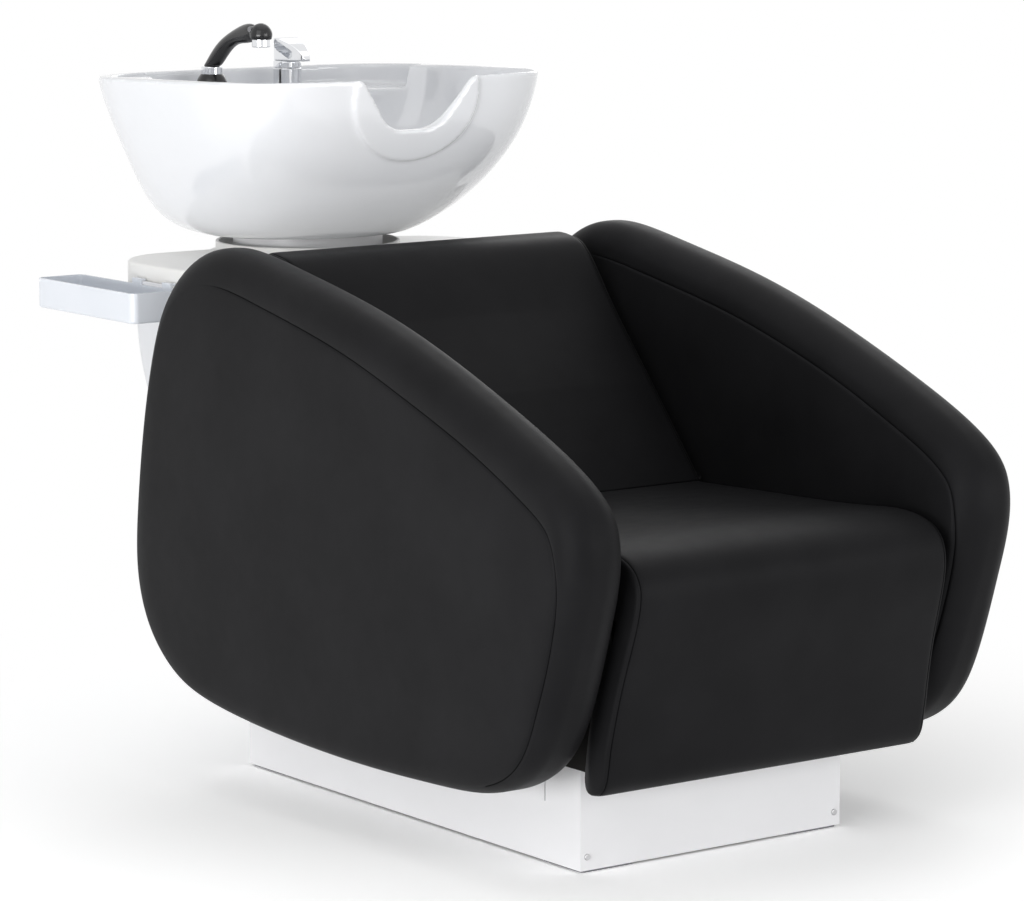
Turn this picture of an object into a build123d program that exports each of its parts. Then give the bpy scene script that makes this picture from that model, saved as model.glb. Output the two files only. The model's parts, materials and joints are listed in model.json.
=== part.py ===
from build123d import *
import math
import os

os.makedirs("parts", exist_ok=True)

# Hair washing bed, in millimetres.  The origin is the middle of the base's footprint on the floor,
# +Z is up, the sitter faces -Y and the basin is behind the sitter at +Y.

# Driving sizes of the whole unit
plinth_width = 460
plinth_height = 150
seat_width = 540
seat_rear = -50
seat_rear_height = 445
back_top_height = 790
back_run = 0.87
arm_thickness = 103
arm_gap = 22
deck_thickness = 48
basin_width = 598
basin_length = 534
basin_height = 284
tap_spacing = 140

# Shared stock, fits and margins
overrun = 4
soft_gap = 0.3
fit_gap = 0.1
running_gap = 0.05
sheet = 2
board = 15
tube_wall = 2

# The chain from the sitter's back to the basin: carcass, mast, plinth and tilt axis follow the backrest
back_pad_thickness = 85
carcass_margin = 3
carcass_step = 5
rear_board_thickness = 12
upright_width = 40
upright_depth = 30
mast_clearance = 30
mast_foot_depth = 70
mast_foot_margin = 3
neck_drop = 90
neck_reach = 337.85
pivot_rise = 42
basin_rise = 36
lean = math.atan(back_run)


def back_face(height, depth=0):
    """Y of a plane parallel to the backrest's front face, depth behind it."""
    return seat_rear + (height - seat_rear_height) * back_run + depth / math.cos(lean)


back_board_top = back_top_height - back_pad_thickness
back_board_rear = back_pad_thickness + board
carcass_reach = back_face(back_board_top, back_board_rear) + carcass_margin
carcass_rear = math.ceil(carcass_reach / carcass_step) * carcass_step
console_front = carcass_rear + rear_board_thickness
upright_setback = console_front + mast_clearance + upright_depth / 2
plinth_depth = 2 * (upright_setback + mast_foot_depth / 2 + mast_foot_margin)
mast_height = back_top_height - neck_drop
basin_setback = back_face(back_top_height) + neck_reach
pivot_height = mast_height + pivot_rise
basin_base = pivot_height + basin_rise
deck_wing_reach = 136
deck_wing_front = basin_setback - deck_wing_reach


def export(builder, name):
    builder.part.label = name
    export_step(builder.part, f"parts/{name}.step")


def side_plane(x):
    """Sketch plane across the unit: its own axes run along +Y and +Z, and it faces +X."""
    return Plane.YZ.offset(x)


def front_plane(y):
    """Sketch plane along the unit: its own axes run along +X and +Z, and it faces -Y."""
    return Plane.XZ.offset(-y)


# Welded base inside the plinth
post_size = 30
rail_width = 40
rail_height = 30
plate_size = 90
plate_thickness = 6
plate_corner = 6
anchor_radius = 5.5
anchor_inset = 18
middle_tube_setback = -30
frame_half_width = plinth_width / 2 - 2 * sheet
frame_half_depth = plinth_depth / 2 - sheet
frame_top = plinth_height - sheet
rail_bottom = frame_top - rail_height
plate_x = frame_half_width - plate_size / 2
plate_y = frame_half_depth - plate_size / 2
anchor_x = plate_x - plate_size / 2 + anchor_inset
anchor_y = plate_y - plate_size / 2 + anchor_inset

with BuildPart() as floor_plates:
    with BuildSketch():
        with GridLocations(2 * plate_x, 2 * plate_y, 2, 2):
            RectangleRounded(plate_size, plate_size, plate_corner)
    extrude(amount=plate_thickness)
    with GridLocations(2 * anchor_x, 2 * anchor_y, 2, 2):
        Hole(anchor_radius)
export(floor_plates, "floor_plates")

post_x = frame_half_width - post_size / 2
post_y = frame_half_depth - post_size / 2
screw_radius = 2.4
screw_head_radius = 4.6
screw_head_height = 2.4
screw_reach = 10
front_screw_inset = 11
front_screw_height = 22
rear_screw_height = 100

with BuildPart() as base_posts:
    with BuildSketch(Plane.XY.offset(plate_thickness)):
        with GridLocations(2 * post_x, 2 * post_y, 2, 2):
            Rectangle(post_size, post_size)
            Rectangle(post_size - 2 * tube_wall, post_size - 2 * tube_wall, mode=Mode.SUBTRACT)
    extrude(amount=rail_bottom - plate_thickness)
    with BuildSketch(front_plane(-plinth_depth / 2)):
        with Locations((0, front_screw_height)):
            with GridLocations(plinth_width - 2 * front_screw_inset, 0, 2, 1):
                Circle(screw_radius + fit_gap)
    extrude(amount=-(sheet + 2 * tube_wall), mode=Mode.SUBTRACT)
    with BuildSketch(front_plane(plinth_depth / 2)):
        with Locations((0, front_screw_height), (0, rear_screw_height)):
            with GridLocations(plinth_width - 2 * front_screw_inset, 0, 2, 1):
                Circle(screw_radius + fit_gap)
    extrude(amount=sheet + 2 * tube_wall, mode=Mode.SUBTRACT)
export(base_posts, "base_posts")

rail_x = frame_half_width - rail_width / 2

with BuildPart() as base_rails:
    with BuildSketch(front_plane(frame_half_depth)):
        with Locations((-rail_x, frame_top - rail_height / 2), (rail_x, frame_top - rail_height / 2)):
            Rectangle(rail_width, rail_height)
            Rectangle(rail_width - 2 * tube_wall, rail_height - 2 * tube_wall, mode=Mode.SUBTRACT)
    extrude(amount=2 * frame_half_depth)
export(base_rails, "base_rails")

# The mast's two uprights stand just behind the rearmost cross tube
upright_x = 100
cross_length = frame_half_width - rail_width
front_tube_setback = -frame_half_depth + rail_width / 2
rear_tube_setback = upright_setback - upright_depth / 2 - rail_width / 2

with BuildPart() as base_cross_tubes:
    with BuildSketch(side_plane(-cross_length)):
        with Locations(
            (front_tube_setback, frame_top - rail_height / 2),
            (middle_tube_setback, frame_top - rail_height / 2),
            (rear_tube_setback, frame_top - rail_height / 2),
        ):
            Rectangle(rail_width, rail_height)
            Rectangle(rail_width - 2 * tube_wall, rail_height - 2 * tube_wall, mode=Mode.SUBTRACT)
    extrude(amount=2 * cross_length)
export(base_cross_tubes, "base_cross_tubes")

# Plinth panels hang by their folded tops on the welded base
floor_gap = 3
fold = 20
return_depth = 25
slot_width = 2.2
slot_inset = 80
slot_bottom = 86
slot_top = 136
panel_height = plinth_height - floor_gap
panel_middle = floor_gap + panel_height / 2
side_panel_half = frame_half_depth

with BuildPart() as plinth_side_panels:
    with BuildSketch(front_plane(side_panel_half)):
        with BuildLine():
            Polyline(
                (plinth_width / 2, floor_gap),
                (plinth_width / 2, plinth_height),
                (plinth_width / 2 - fold, plinth_height),
                (plinth_width / 2 - fold, plinth_height - sheet),
                (plinth_width / 2 - sheet, plinth_height - sheet),
                (plinth_width / 2 - sheet, floor_gap),
                close=True,
            )
        make_face()
    extrude(amount=2 * side_panel_half)
    with BuildSketch(side_plane(plinth_width / 2 + overrun)):
        with Locations((slot_inset - plinth_depth / 2, (slot_bottom + slot_top) / 2)):
            SlotOverall(slot_top - slot_bottom, slot_width, rotation=90)
    extrude(amount=-(sheet + 2 * overrun), mode=Mode.SUBTRACT)
    for end in (-1, 1):
        with BuildSketch(Plane.XY.offset(plinth_height - sheet)):
            with Locations((plinth_width / 2 - sheet - fold / 2, end * (side_panel_half - return_depth / 2))):
                Rectangle(fold, return_depth)
        extrude(amount=sheet, mode=Mode.SUBTRACT)
    mirror(about=Plane.YZ)
export(plinth_side_panels, "plinth_side_panels")

end_panel_half = plinth_width / 2
end_return_x = frame_half_width + sheet / 2


def end_panel(end, screw_heights, cut_outs):
    """Front (end -1) or rear (end 1) plinth panel: a face, two side returns and a top fold."""
    outer = end * plinth_depth / 2
    inner = outer - end * sheet
    with BuildPart() as panel:
        with BuildSketch(front_plane(outer)):
            with Locations((0, panel_middle)):
                Rectangle(2 * end_panel_half, panel_height)
        extrude(amount=end * sheet)
        with BuildSketch(front_plane(inner)):
            with Locations((0, panel_middle)):
                with GridLocations(2 * end_return_x, 0, 2, 1):
                    Rectangle(sheet, panel_height)
        extrude(amount=end * return_depth)
        with BuildSketch(front_plane(inner)):
            with Locations((0, plinth_height - sheet / 2)):
                Rectangle(2 * frame_half_width, sheet)
                if cut_outs:
                    Rectangle(service_width, sheet, mode=Mode.SUBTRACT)
        extrude(amount=end * fold)
        with BuildSketch(front_plane(outer + end * overrun)):
            for height in screw_heights:
                with Locations((0, height)):
                    with GridLocations(plinth_width - 2 * front_screw_inset, 0, 2, 1):
                        Circle(screw_radius + fit_gap)
            for height in cut_outs:
                with Locations((0, height)):
                    RectangleRounded(service_width, service_height, service_corner)
        extrude(amount=end * (sheet + 2 * overrun), mode=Mode.SUBTRACT)
    return panel


service_width = 190
service_height = 76
service_corner = 14
outlet_height = 72

plinth_front_panel = end_panel(-1, (front_screw_height,), ())
export(plinth_front_panel, "plinth_front_panel")
plinth_rear_panel = end_panel(1, (front_screw_height, rear_screw_height), (outlet_height,))
export(plinth_rear_panel, "plinth_rear_panel")


with BuildPart() as plinth_screws:
    for end, heights in ((-1, (front_screw_height,)), (1, (front_screw_height, rear_screw_height))):
        for radius, start, length in (
            (screw_head_radius, end * plinth_depth / 2, -end * screw_head_height),
            (screw_radius, end * plinth_depth / 2, end * screw_reach),
        ):
            with BuildSketch(front_plane(start)):
                for height in heights:
                    with Locations((0, height)):
                        with GridLocations(plinth_width - 2 * front_screw_inset, 0, 2, 1):
                            Circle(radius)
            extrude(amount=length)
    for end in (0, -1):
        fillet(plinth_screws.edges().filter_by(GeomType.CIRCLE).group_by(Axis.Y)[end], screw_head_height / 2)
export(plinth_screws, "plinth_screws")

# Seat: its side outline gives the carcass, the boards and the pad
seat_crest_height = 463
seat_front = -585
seat_foot = -530
seat_foot_height = 165
seat_nose_height = 400
seat_hem_height = 130
front_pad = 64
top_pad = 75
carcass_half_width = 250
carcass_side = 18
seat_board_top = seat_rear_height - top_pad
front_slope = (seat_foot - seat_front) / (seat_nose_height - seat_foot_height)
front_board_foot = seat_foot + front_pad + board / 2
front_board_head = front_board_foot - front_slope * (seat_board_top - board - plinth_height)

with BuildPart() as carcass_sides:
    with BuildSketch(side_plane(carcass_half_width - carcass_side)):
        with BuildLine():
            Polyline(
                (front_board_foot + board / 2, plinth_height),
                (front_board_head + board / 2, seat_board_top - board),
                (back_face(seat_board_top, back_board_rear), seat_board_top - board),
                (back_face(seat_board_top, back_board_rear), seat_board_top),
                (back_face(back_board_top, back_board_rear), back_board_top),
                (carcass_rear, back_board_top),
                (carcass_rear, plinth_height),
                close=True,
            )
        make_face()
    extrude(amount=carcass_side)
    mirror(about=Plane.YZ)

with BuildPart() as seat_board:
    with BuildSketch(side_plane(-carcass_half_width)):
        with BuildLine():
            Polyline(
                (front_board_head - board / 2, seat_board_top - board),
                (front_board_head - board / 2 - front_slope * board, seat_board_top),
                (back_face(seat_board_top, back_board_rear), seat_board_top),
                (back_face(seat_board_top, back_board_rear), seat_board_top - board),
                close=True,
            )
        make_face()
    extrude(amount=2 * carcass_half_width)
export(seat_board, "seat_board")

with BuildPart() as front_board:
    with BuildSketch(side_plane(-carcass_half_width)):
        with BuildLine():
            Polyline(
                (front_board_foot - board / 2, plinth_height),
                (front_board_head - board / 2, seat_board_top - board),
                (front_board_head + board / 2, seat_board_top - board),
                (front_board_foot + board / 2, plinth_height),
                close=True,
            )
        make_face()
    extrude(amount=2 * carcass_half_width)
export(front_board, "front_board")

with BuildPart() as back_board:
    with BuildSketch(side_plane(-carcass_half_width)):
        with BuildLine():
            Polyline(
                (back_face(seat_board_top, back_pad_thickness), seat_board_top),
                (back_face(back_board_top, back_pad_thickness), back_board_top),
                (back_face(back_board_top, back_board_rear), back_board_top),
                (back_face(seat_board_top, back_board_rear), seat_board_top),
                close=True,
            )
        make_face()
    extrude(amount=2 * carcass_half_width)
export(back_board, "back_board")

console_screw_x = 170
console_screw_rise = 110
console_screw_drop = 105
console_screw_heights = (plinth_height + console_screw_rise, back_board_top - console_screw_drop)

with BuildPart() as rear_board:
    with BuildSketch(front_plane(carcass_rear + rear_board_thickness)):
        with Locations((0, (plinth_height + back_board_top) / 2)):
            Rectangle(2 * carcass_half_width, back_board_top - plinth_height)
        for height in console_screw_heights:
            with Locations((-console_screw_x, height), (console_screw_x, height)):
                Circle(screw_radius + fit_gap, mode=Mode.SUBTRACT)
    extrude(amount=rear_board_thickness)
export(rear_board, "rear_board")

# Seat pad: one outline lofted from side to side, fuller in the middle, rolled at both side edges
seat_half_width = seat_width / 2
seat_crown = 9
seat_edge_roll = 12
nose_height = 420


def seat_outline(crown):
    """Closed side outline of the seat pad, with its top and nose raised by crown."""
    foot_board = front_board_foot - board / 2 - soft_gap
    head_board = front_board_head - board / 2 - front_slope * board - soft_gap
    with BuildLine() as outline:
        upper = Spline(
            (back_face(seat_rear_height, back_pad_thickness) - soft_gap, seat_rear_height - soft_gap),
            (seat_rear, seat_rear_height - soft_gap),
            (seat_rear * 4, seat_rear_height + 0.25 * (seat_crest_height - seat_rear_height) + crown),
            (seat_front * 0.7, seat_rear_height + 0.7 * (seat_crest_height - seat_rear_height) + crown),
            (seat_front * 0.86, seat_crest_height + crown),
            (seat_front * 0.965, nose_height + 0.62 * (seat_crest_height - nose_height) + crown / 2),
            (seat_front - crown / 2, nose_height - 0.3 * (seat_crest_height - nose_height)),
            (seat_foot + 0.5 * (seat_front - seat_foot) - crown, (nose_height + seat_foot_height) / 2),
            (seat_foot - crown / 3, seat_foot_height),
            (seat_foot + 0.4 * front_pad, seat_hem_height),
        )
        hem = Line(upper @ 1, (foot_board, seat_hem_height))
        front_inner = Line(hem @ 1, (foot_board, plinth_height))
        front_back = Line(front_inner @ 1, (head_board, seat_board_top + soft_gap))
        under = Line(
            front_back @ 1,
            (back_face(seat_board_top, back_pad_thickness) - soft_gap, seat_board_top + soft_gap),
        )
        Line(under @ 1, upper @ 0)
    return outline.line


with BuildPart() as seat_pad:
    for place, crown in ((-seat_half_width, 0), (0, seat_crown), (seat_half_width, 0)):
        with BuildSketch(side_plane(place)):
            add(seat_outline(crown))
            make_face()
    loft()
    rolled = [
        edge
        for edge in seat_pad.edges().filter_by(GeomType.BSPLINE)
        if abs(abs(edge.center().X) - seat_half_width) < fit_gap
    ]
    fillet(rolled, seat_edge_roll)
export(seat_pad, "seat_pad")

# Back pad, with its crown towards the sitter
back_half_width = seat_width / 2
back_crown = 12
back_edge_roll = 14
back_top_round = 34


def back_outline(crown):
    """Closed side outline of the back pad."""
    head = back_top_height - back_top_round * (1 - math.sin(lean))
    rear_top = back_top_height - back_pad_thickness * math.sin(lean)
    with BuildLine() as outline:
        front = Spline(
            (back_face(seat_rear_height), seat_rear_height),
            (back_face(seat_rear_height + 0.5 * (head - seat_rear_height)) - crown / math.cos(lean),
             seat_rear_height + 0.5 * (head - seat_rear_height)),
            (back_face(head), head),
        )
        top = Spline(
            front @ 1,
            (back_face(back_top_height, 0.42 * back_pad_thickness), back_top_height),
            (back_face(rear_top + 0.3 * back_top_round, back_pad_thickness), rear_top + 0.3 * back_top_round),
            tangents=(front % 1, Vector(-math.sin(lean), -math.cos(lean))),
        )
        rear = Line(
            top @ 1,
            (back_face(seat_rear_height, back_pad_thickness), seat_rear_height),
        )
        Line(rear @ 1, front @ 0)
    return outline.line


with BuildPart() as back_pad:
    for place, crown in ((-back_half_width, 0), (0, back_crown), (back_half_width, 0)):
        with BuildSketch(side_plane(place)):
            add(back_outline(crown))
            make_face()
    loft()
    rolled = [
        edge
        for edge in back_pad.edges().filter_by(GeomType.BSPLINE)
        if abs(abs(edge.center().X) - back_half_width) < fit_gap
    ]
    fillet(rolled, back_edge_roll)
export(back_pad, "back_pad")

# Arm pads: the outline is in shares of the arm's length (front to rear) and height
arm_nose_lead = 17
arm_tail_cover = 35
arm_head_cover = 15
arm_skirt_drop = 51
arm_front = seat_front - arm_nose_lead
arm_length = deck_wing_front + arm_tail_cover - arm_front
arm_bottom = plinth_height - arm_skirt_drop
arm_height = back_top_height + arm_head_cover - arm_bottom
arm_edge_roll = 44
arm_inner = seat_half_width + arm_gap
arm_outline_shares = (
    (0.000, 0.500),
    (0.010, 0.600),
    (0.062, 0.672),
    (0.169, 0.749),
    (0.327, 0.841),
    (0.492, 0.916),
    (0.666, 0.970),
    (0.796, 0.993),
    (0.868, 0.955),
    (0.920, 0.876),
    (0.952, 0.772),
    (0.980, 0.607),
    (0.998, 0.426),
    (1.000, 0.285),
    (0.970, 0.168),
    (0.912, 0.088),
    (0.822, 0.043),
    (0.525, 0.012),
    (0.305, 0.022),
    (0.195, 0.043),
    (0.112, 0.112),
    (0.062, 0.225),
    (0.022, 0.377),
)

# Arm board inside each pad, held off the carcass by tube spacers with bolts through them
arm_board_thickness = 18
arm_board_corner = 30
arm_board_inset = 42
arm_board_inner = arm_inner + arm_board_inset
spacer_radius = 12
bolt_radius = 4
bolt_hole_radius = bolt_radius + fit_gap
bolt_head_radius = 6.5
bolt_head_height = 8
front_bolt_back = 128
rear_bolt_inset = 85
top_bolt_inset = 53
low_bolt_rise = 100
top_bolt_drop = 145
arm_bolt_places = (
    (front_board_foot + front_bolt_back, plinth_height + low_bolt_rise),
    (carcass_rear - rear_bolt_inset, plinth_height + low_bolt_rise),
    (carcass_rear - top_bolt_inset, back_board_top - top_bolt_drop),
)
arm_board_shares = ((0.16, 0.20), (0.13, 0.60), (0.55, 0.82), (0.80, 0.88), (0.89, 0.55), (0.87, 0.20))


def on_arm(shares):
    return [(arm_front + arm_length * along, arm_bottom + arm_height * up) for along, up in shares]


with BuildPart() as arm_board:
    with BuildSketch(side_plane(arm_board_inner)):
        with BuildLine():
            Polyline(*on_arm(arm_board_shares), close=True)
        make_face()
    extrude(amount=arm_board_thickness)
    fillet(arm_board.edges().filter_by(Axis.X), arm_board_corner)
    with BuildSketch(side_plane(arm_board_inner)):
        with Locations(*arm_bolt_places):
            Circle(bolt_hole_radius)
    extrude(amount=arm_board_thickness, mode=Mode.SUBTRACT)

with BuildPart() as arm_pad:
    with BuildSketch(side_plane(arm_inner)):
        with BuildLine():
            Spline(*on_arm(arm_outline_shares), periodic=True)
        make_face()
    extrude(amount=arm_thickness)
    fillet(arm_pad.edges(), arm_edge_roll)
    with BuildSketch(side_plane(arm_board_inner - soft_gap)):
        with BuildLine():
            Polyline(*on_arm(arm_board_shares), close=True)
        make_face()
        offset(amount=soft_gap)
    extrude(amount=arm_board_thickness + 2 * soft_gap, mode=Mode.SUBTRACT)
    with BuildSketch(side_plane(arm_inner - overrun)):
        with Locations(*arm_bolt_places):
            Circle(spacer_radius + soft_gap)
    extrude(amount=arm_board_inner - arm_inner + overrun, mode=Mode.SUBTRACT)

with BuildPart() as arm_spacers:
    with BuildSketch(side_plane(carcass_half_width)):
        with Locations(*arm_bolt_places):
            Circle(spacer_radius)
            Circle(bolt_hole_radius, mode=Mode.SUBTRACT)
    extrude(amount=arm_board_inner - carcass_half_width)
    mirror(about=Plane.YZ)
export(arm_spacers, "arm_spacers")

with BuildPart() as arm_bolts:
    with BuildSketch(side_plane(carcass_half_width - carcass_side - bolt_head_height)):
        with Locations(*arm_bolt_places):
            Circle(bolt_head_radius)
    extrude(amount=bolt_head_height)
    with BuildSketch(side_plane(carcass_half_width - carcass_side)):
        with Locations(*arm_bolt_places):
            Circle(bolt_radius)
    extrude(amount=arm_board_inner + arm_board_thickness - carcass_half_width + carcass_side)
    mirror(about=Plane.YZ)
export(arm_bolts, "arm_bolts")

with carcass_sides:
    with BuildSketch(side_plane(-carcass_half_width)):
        with Locations(*arm_bolt_places):
            Circle(bolt_hole_radius)
    extrude(amount=2 * carcass_half_width, mode=Mode.SUBTRACT)
export(carcass_sides, "carcass_sides")

for hand, flip in (("left", False), ("right", True)):
    with BuildPart() as sided_pad:
        add(mirror(arm_pad.part, about=Plane.YZ, mode=Mode.PRIVATE) if flip else arm_pad.part)
    export(sided_pad, f"arm_pad_{hand}")
    with BuildPart() as sided_board:
        add(mirror(arm_board.part, about=Plane.YZ, mode=Mode.PRIVATE) if flip else arm_board.part)
    export(sided_board, f"arm_board_{hand}")

# Mast: two uprights from the floor, a head plate over the console and two gussets
mast_foot_width = 250
head_plate = 8
head_half_width = 125
head_margin = 92
head_rear = basin_setback + head_margin
head_corner = 40
gusset_thickness = 6
gusset_drop = 170
gusset_reach = 175
cup_hole_radius = 36
supply_hole_radius = 9
supply_x = 54
head_bottom = mast_height - head_plate
upright_rear = upright_setback + upright_depth / 2
upright_front = upright_setback - upright_depth / 2
mast_bolt_radius = 4
mast_bolt_spread = 55

with BuildPart() as mast_foot:
    with BuildSketch():
        with Locations((0, upright_setback)):
            RectangleRounded(mast_foot_width, mast_foot_depth, plate_corner)
    extrude(amount=plate_thickness)
export(mast_foot, "mast_foot")

with BuildPart() as mast_uprights:
    with BuildSketch(Plane.XY.offset(plate_thickness)):
        with Locations((-upright_x, upright_setback), (upright_x, upright_setback)):
            Rectangle(upright_width, upright_depth)
            Rectangle(upright_width - 2 * tube_wall, upright_depth - 2 * tube_wall, mode=Mode.SUBTRACT)
    extrude(amount=head_bottom - plate_thickness)
export(mast_uprights, "mast_uprights")

with BuildPart() as mast_head:
    with BuildSketch(Plane.XY.offset(head_bottom)):
        with BuildLine():
            Polyline(
                (-head_half_width, upright_front),
                (head_half_width, upright_front),
                (head_half_width, head_rear - head_corner),
                (head_half_width - head_corner, head_rear),
                (-head_half_width + head_corner, head_rear),
                (-head_half_width, head_rear - head_corner),
                close=True,
            )
        make_face()
    extrude(amount=head_plate)
    with Locations((0, basin_setback, head_bottom)):
        Hole(cup_hole_radius)
        with GridLocations(2 * mast_bolt_spread, 2 * mast_bolt_spread, 2, 2):
            Hole(mast_bolt_radius + fit_gap)
        with GridLocations(2 * supply_x, 0, 2, 1):
            Hole(supply_hole_radius)
export(mast_head, "mast_head")

with BuildPart() as mast_gussets:
    with BuildSketch(side_plane(upright_x - gusset_thickness / 2)):
        with BuildLine():
            Polyline(
                (upright_rear, head_bottom),
                (upright_rear + gusset_reach, head_bottom),
                (upright_rear + gusset_reach, head_bottom - gusset_thickness),
                (upright_rear, head_bottom - gusset_drop),
                close=True,
            )
        make_face()
    extrude(amount=gusset_thickness)
    mirror(about=Plane.YZ)
export(mast_gussets, "mast_gussets")

# Console: a moulded shell in two halves round the mast, open at the top and bottom
console_wall = 4
console_half_width = 256
console_corner = 35
console_overhang = 110
console_rear = basin_setback + console_overhang
# Level between plinth and deck, half width as a share of the full one, and depth as a share of the top's
console_shares = (
    (0.000, 0.801, 0.256),
    (0.273, 0.922, 0.480),
    (0.673, 0.977, 0.919),
    (1.000, 1.000, 1.000),
)
split_share = 0.52
console_split = console_front + split_share * (console_rear - console_front)


def console_form(inset, lift):
    """Loft through the console's plan outlines, each moved inwards by inset."""
    with BuildPart() as form:
        for level, width, depth in console_shares:
            height = plinth_height - lift + level * (mast_height - plinth_height + 2 * lift)
            reach = depth * (console_rear - console_front)
            with BuildSketch(Plane.XY.offset(height)):
                with Locations((0, console_front + reach / 2)):
                    RectangleRounded(
                        2 * (width * console_half_width - inset), reach - 2 * inset, console_corner - inset
                    )
        loft()
    return form.part


console_outside = console_form(0, 0)
console_inside = console_form(console_wall, overrun)

with BuildPart() as console_front_shell:
    add(console_outside)
    add(console_inside, mode=Mode.SUBTRACT)
    split(bisect_by=Plane.XZ.offset(-console_split), keep=Keep.TOP)
    with BuildSketch(front_plane(console_front - overrun)):
        for height in console_screw_heights:
            with Locations((-console_screw_x, height), (console_screw_x, height)):
                Circle(screw_radius + fit_gap)
    extrude(amount=-(console_wall + 2 * overrun), mode=Mode.SUBTRACT)
with BuildPart() as console_rear_shell:
    add(console_outside)
    add(console_inside, mode=Mode.SUBTRACT)
    split(bisect_by=Plane.XZ.offset(-console_split), keep=Keep.BOTTOM)
export(console_front_shell, "console_front_shell")
export(console_rear_shell, "console_rear_shell")

# Deck over the console, with a round lobe under the basin and wings behind the arms
deck_half_width = 310
deck_front_gap = 9
deck_rear_reach = 102
deck_front = console_front + deck_front_gap
deck_rear = basin_setback + deck_rear_reach
deck_corner = 110
deck_small_corner = 14
deck_lobe_radius = 155
deck_hole_radius = 130
deck_edge = 5
deck_top = mast_height + deck_thickness
collar_radius = 142
collar_wall = 5
collar_height = 17



def is_hole(edge, radius):
    return edge.geom_type == GeomType.CIRCLE and abs(edge.radius - radius) < fit_gap


with BuildPart() as deck:
    with BuildSketch(Plane.XY.offset(mast_height)) as deck_plan:
        with Locations((0, (deck_wing_front + deck_rear) / 2)):
            Rectangle(2 * deck_half_width, deck_rear - deck_wing_front)
        fillet(deck_plan.vertices().group_by(Axis.Y)[-1], deck_corner)
        fillet(deck_plan.vertices().group_by(Axis.Y)[0], deck_small_corner)
        with Locations((0, (deck_wing_front + deck_corner + deck_front) / 2)):
            Rectangle(2 * console_half_width, deck_wing_front + deck_corner - deck_front)
        fillet(deck_plan.vertices().group_by(Axis.Y)[0], deck_small_corner)
        with Locations((0, basin_setback)):
            Circle(deck_lobe_radius)
            Circle(deck_hole_radius, mode=Mode.SUBTRACT)
    extrude(amount=deck_thickness)
    rim = [edge for edge in deck.edges().group_by(Axis.Z)[-1] if not is_hole(edge, deck_hole_radius)]
    fillet(rim, deck_edge)
export(deck, "deck")

with BuildPart() as collar:
    with BuildSketch(Plane.XY.offset(deck_top)):
        with Locations((0, basin_setback)):
            Circle(collar_radius)
            Circle(collar_radius - collar_wall, mode=Mode.SUBTRACT)
    extrude(amount=collar_height)
    fillet(collar.edges().group_by(Axis.Z)[-1], collar_wall / 3)
export(collar, "collar")

# Tilt mechanism inside the collar: a bracket on the mast, two pins, and the basin's foot
bracket_plate = 6
bracket_radius = 100
ear_inner = 87
ear_thickness = 6
ear_half_width = 20
lug_inner = 80
lug_thickness = 6
lug_half_width = 18
pin_radius = 6
pin_head_radius = 9
pin_head_height = 3.5
bracket_top = mast_height + bracket_plate
foot_radius = 115
foot_wall = 3
foot_plate = 6
foot_hole_radius = 78
foot_drop = 36
foot_screw_spread = 66
foot_screw_radius = 3
foot_screw_depth = 10

with BuildPart() as tilt_bracket:
    with BuildSketch(Plane.XY.offset(mast_height)):
        with Locations((0, basin_setback)):
            Circle(bracket_radius)
    extrude(amount=bracket_plate)
    with BuildSketch(side_plane(ear_inner)):
        with Locations((basin_setback, (mast_height + pivot_height) / 2)):
            Rectangle(2 * ear_half_width, pivot_height - mast_height)
        with Locations((basin_setback, pivot_height)):
            Circle(ear_half_width)
            Circle(pin_radius + running_gap, mode=Mode.SUBTRACT)
    extrude(amount=ear_thickness)
    mirror(about=Plane.YZ)
    with Locations((0, basin_setback, mast_height)):
        Hole(cup_hole_radius)
        with GridLocations(2 * mast_bolt_spread, 2 * mast_bolt_spread, 2, 2):
            Hole(mast_bolt_radius + fit_gap)
        with GridLocations(2 * supply_x, 0, 2, 1):
            Hole(supply_hole_radius)
export(tilt_bracket, "tilt_bracket")

with BuildPart() as bracket_bolts:
    with BuildSketch(Plane.XY.offset(bracket_top)):
        with Locations((0, basin_setback)):
            with GridLocations(2 * mast_bolt_spread, 2 * mast_bolt_spread, 2, 2):
                RegularPolygon(1.7 * mast_bolt_radius, 6)
    extrude(amount=1.3 * mast_bolt_radius)
    with BuildSketch(Plane.XY.offset(bracket_top)):
        with Locations((0, basin_setback)):
            with GridLocations(2 * mast_bolt_spread, 2 * mast_bolt_spread, 2, 2):
                Circle(mast_bolt_radius)
    extrude(amount=-(bracket_plate + head_plate))
export(bracket_bolts, "bracket_bolts")

with BuildPart() as tilt_pins:
    with BuildSketch(side_plane(lug_inner - overrun / 2)):
        with Locations((basin_setback, pivot_height)):
            Circle(pin_radius)
    extrude(amount=ear_inner + ear_thickness - lug_inner + overrun / 2)
    with BuildSketch(side_plane(ear_inner + ear_thickness)):
        with Locations((basin_setback, pivot_height)):
            Circle(pin_head_radius)
    extrude(amount=pin_head_height)
    mirror(about=Plane.YZ)
export(tilt_pins, "tilt_pins")

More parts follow.
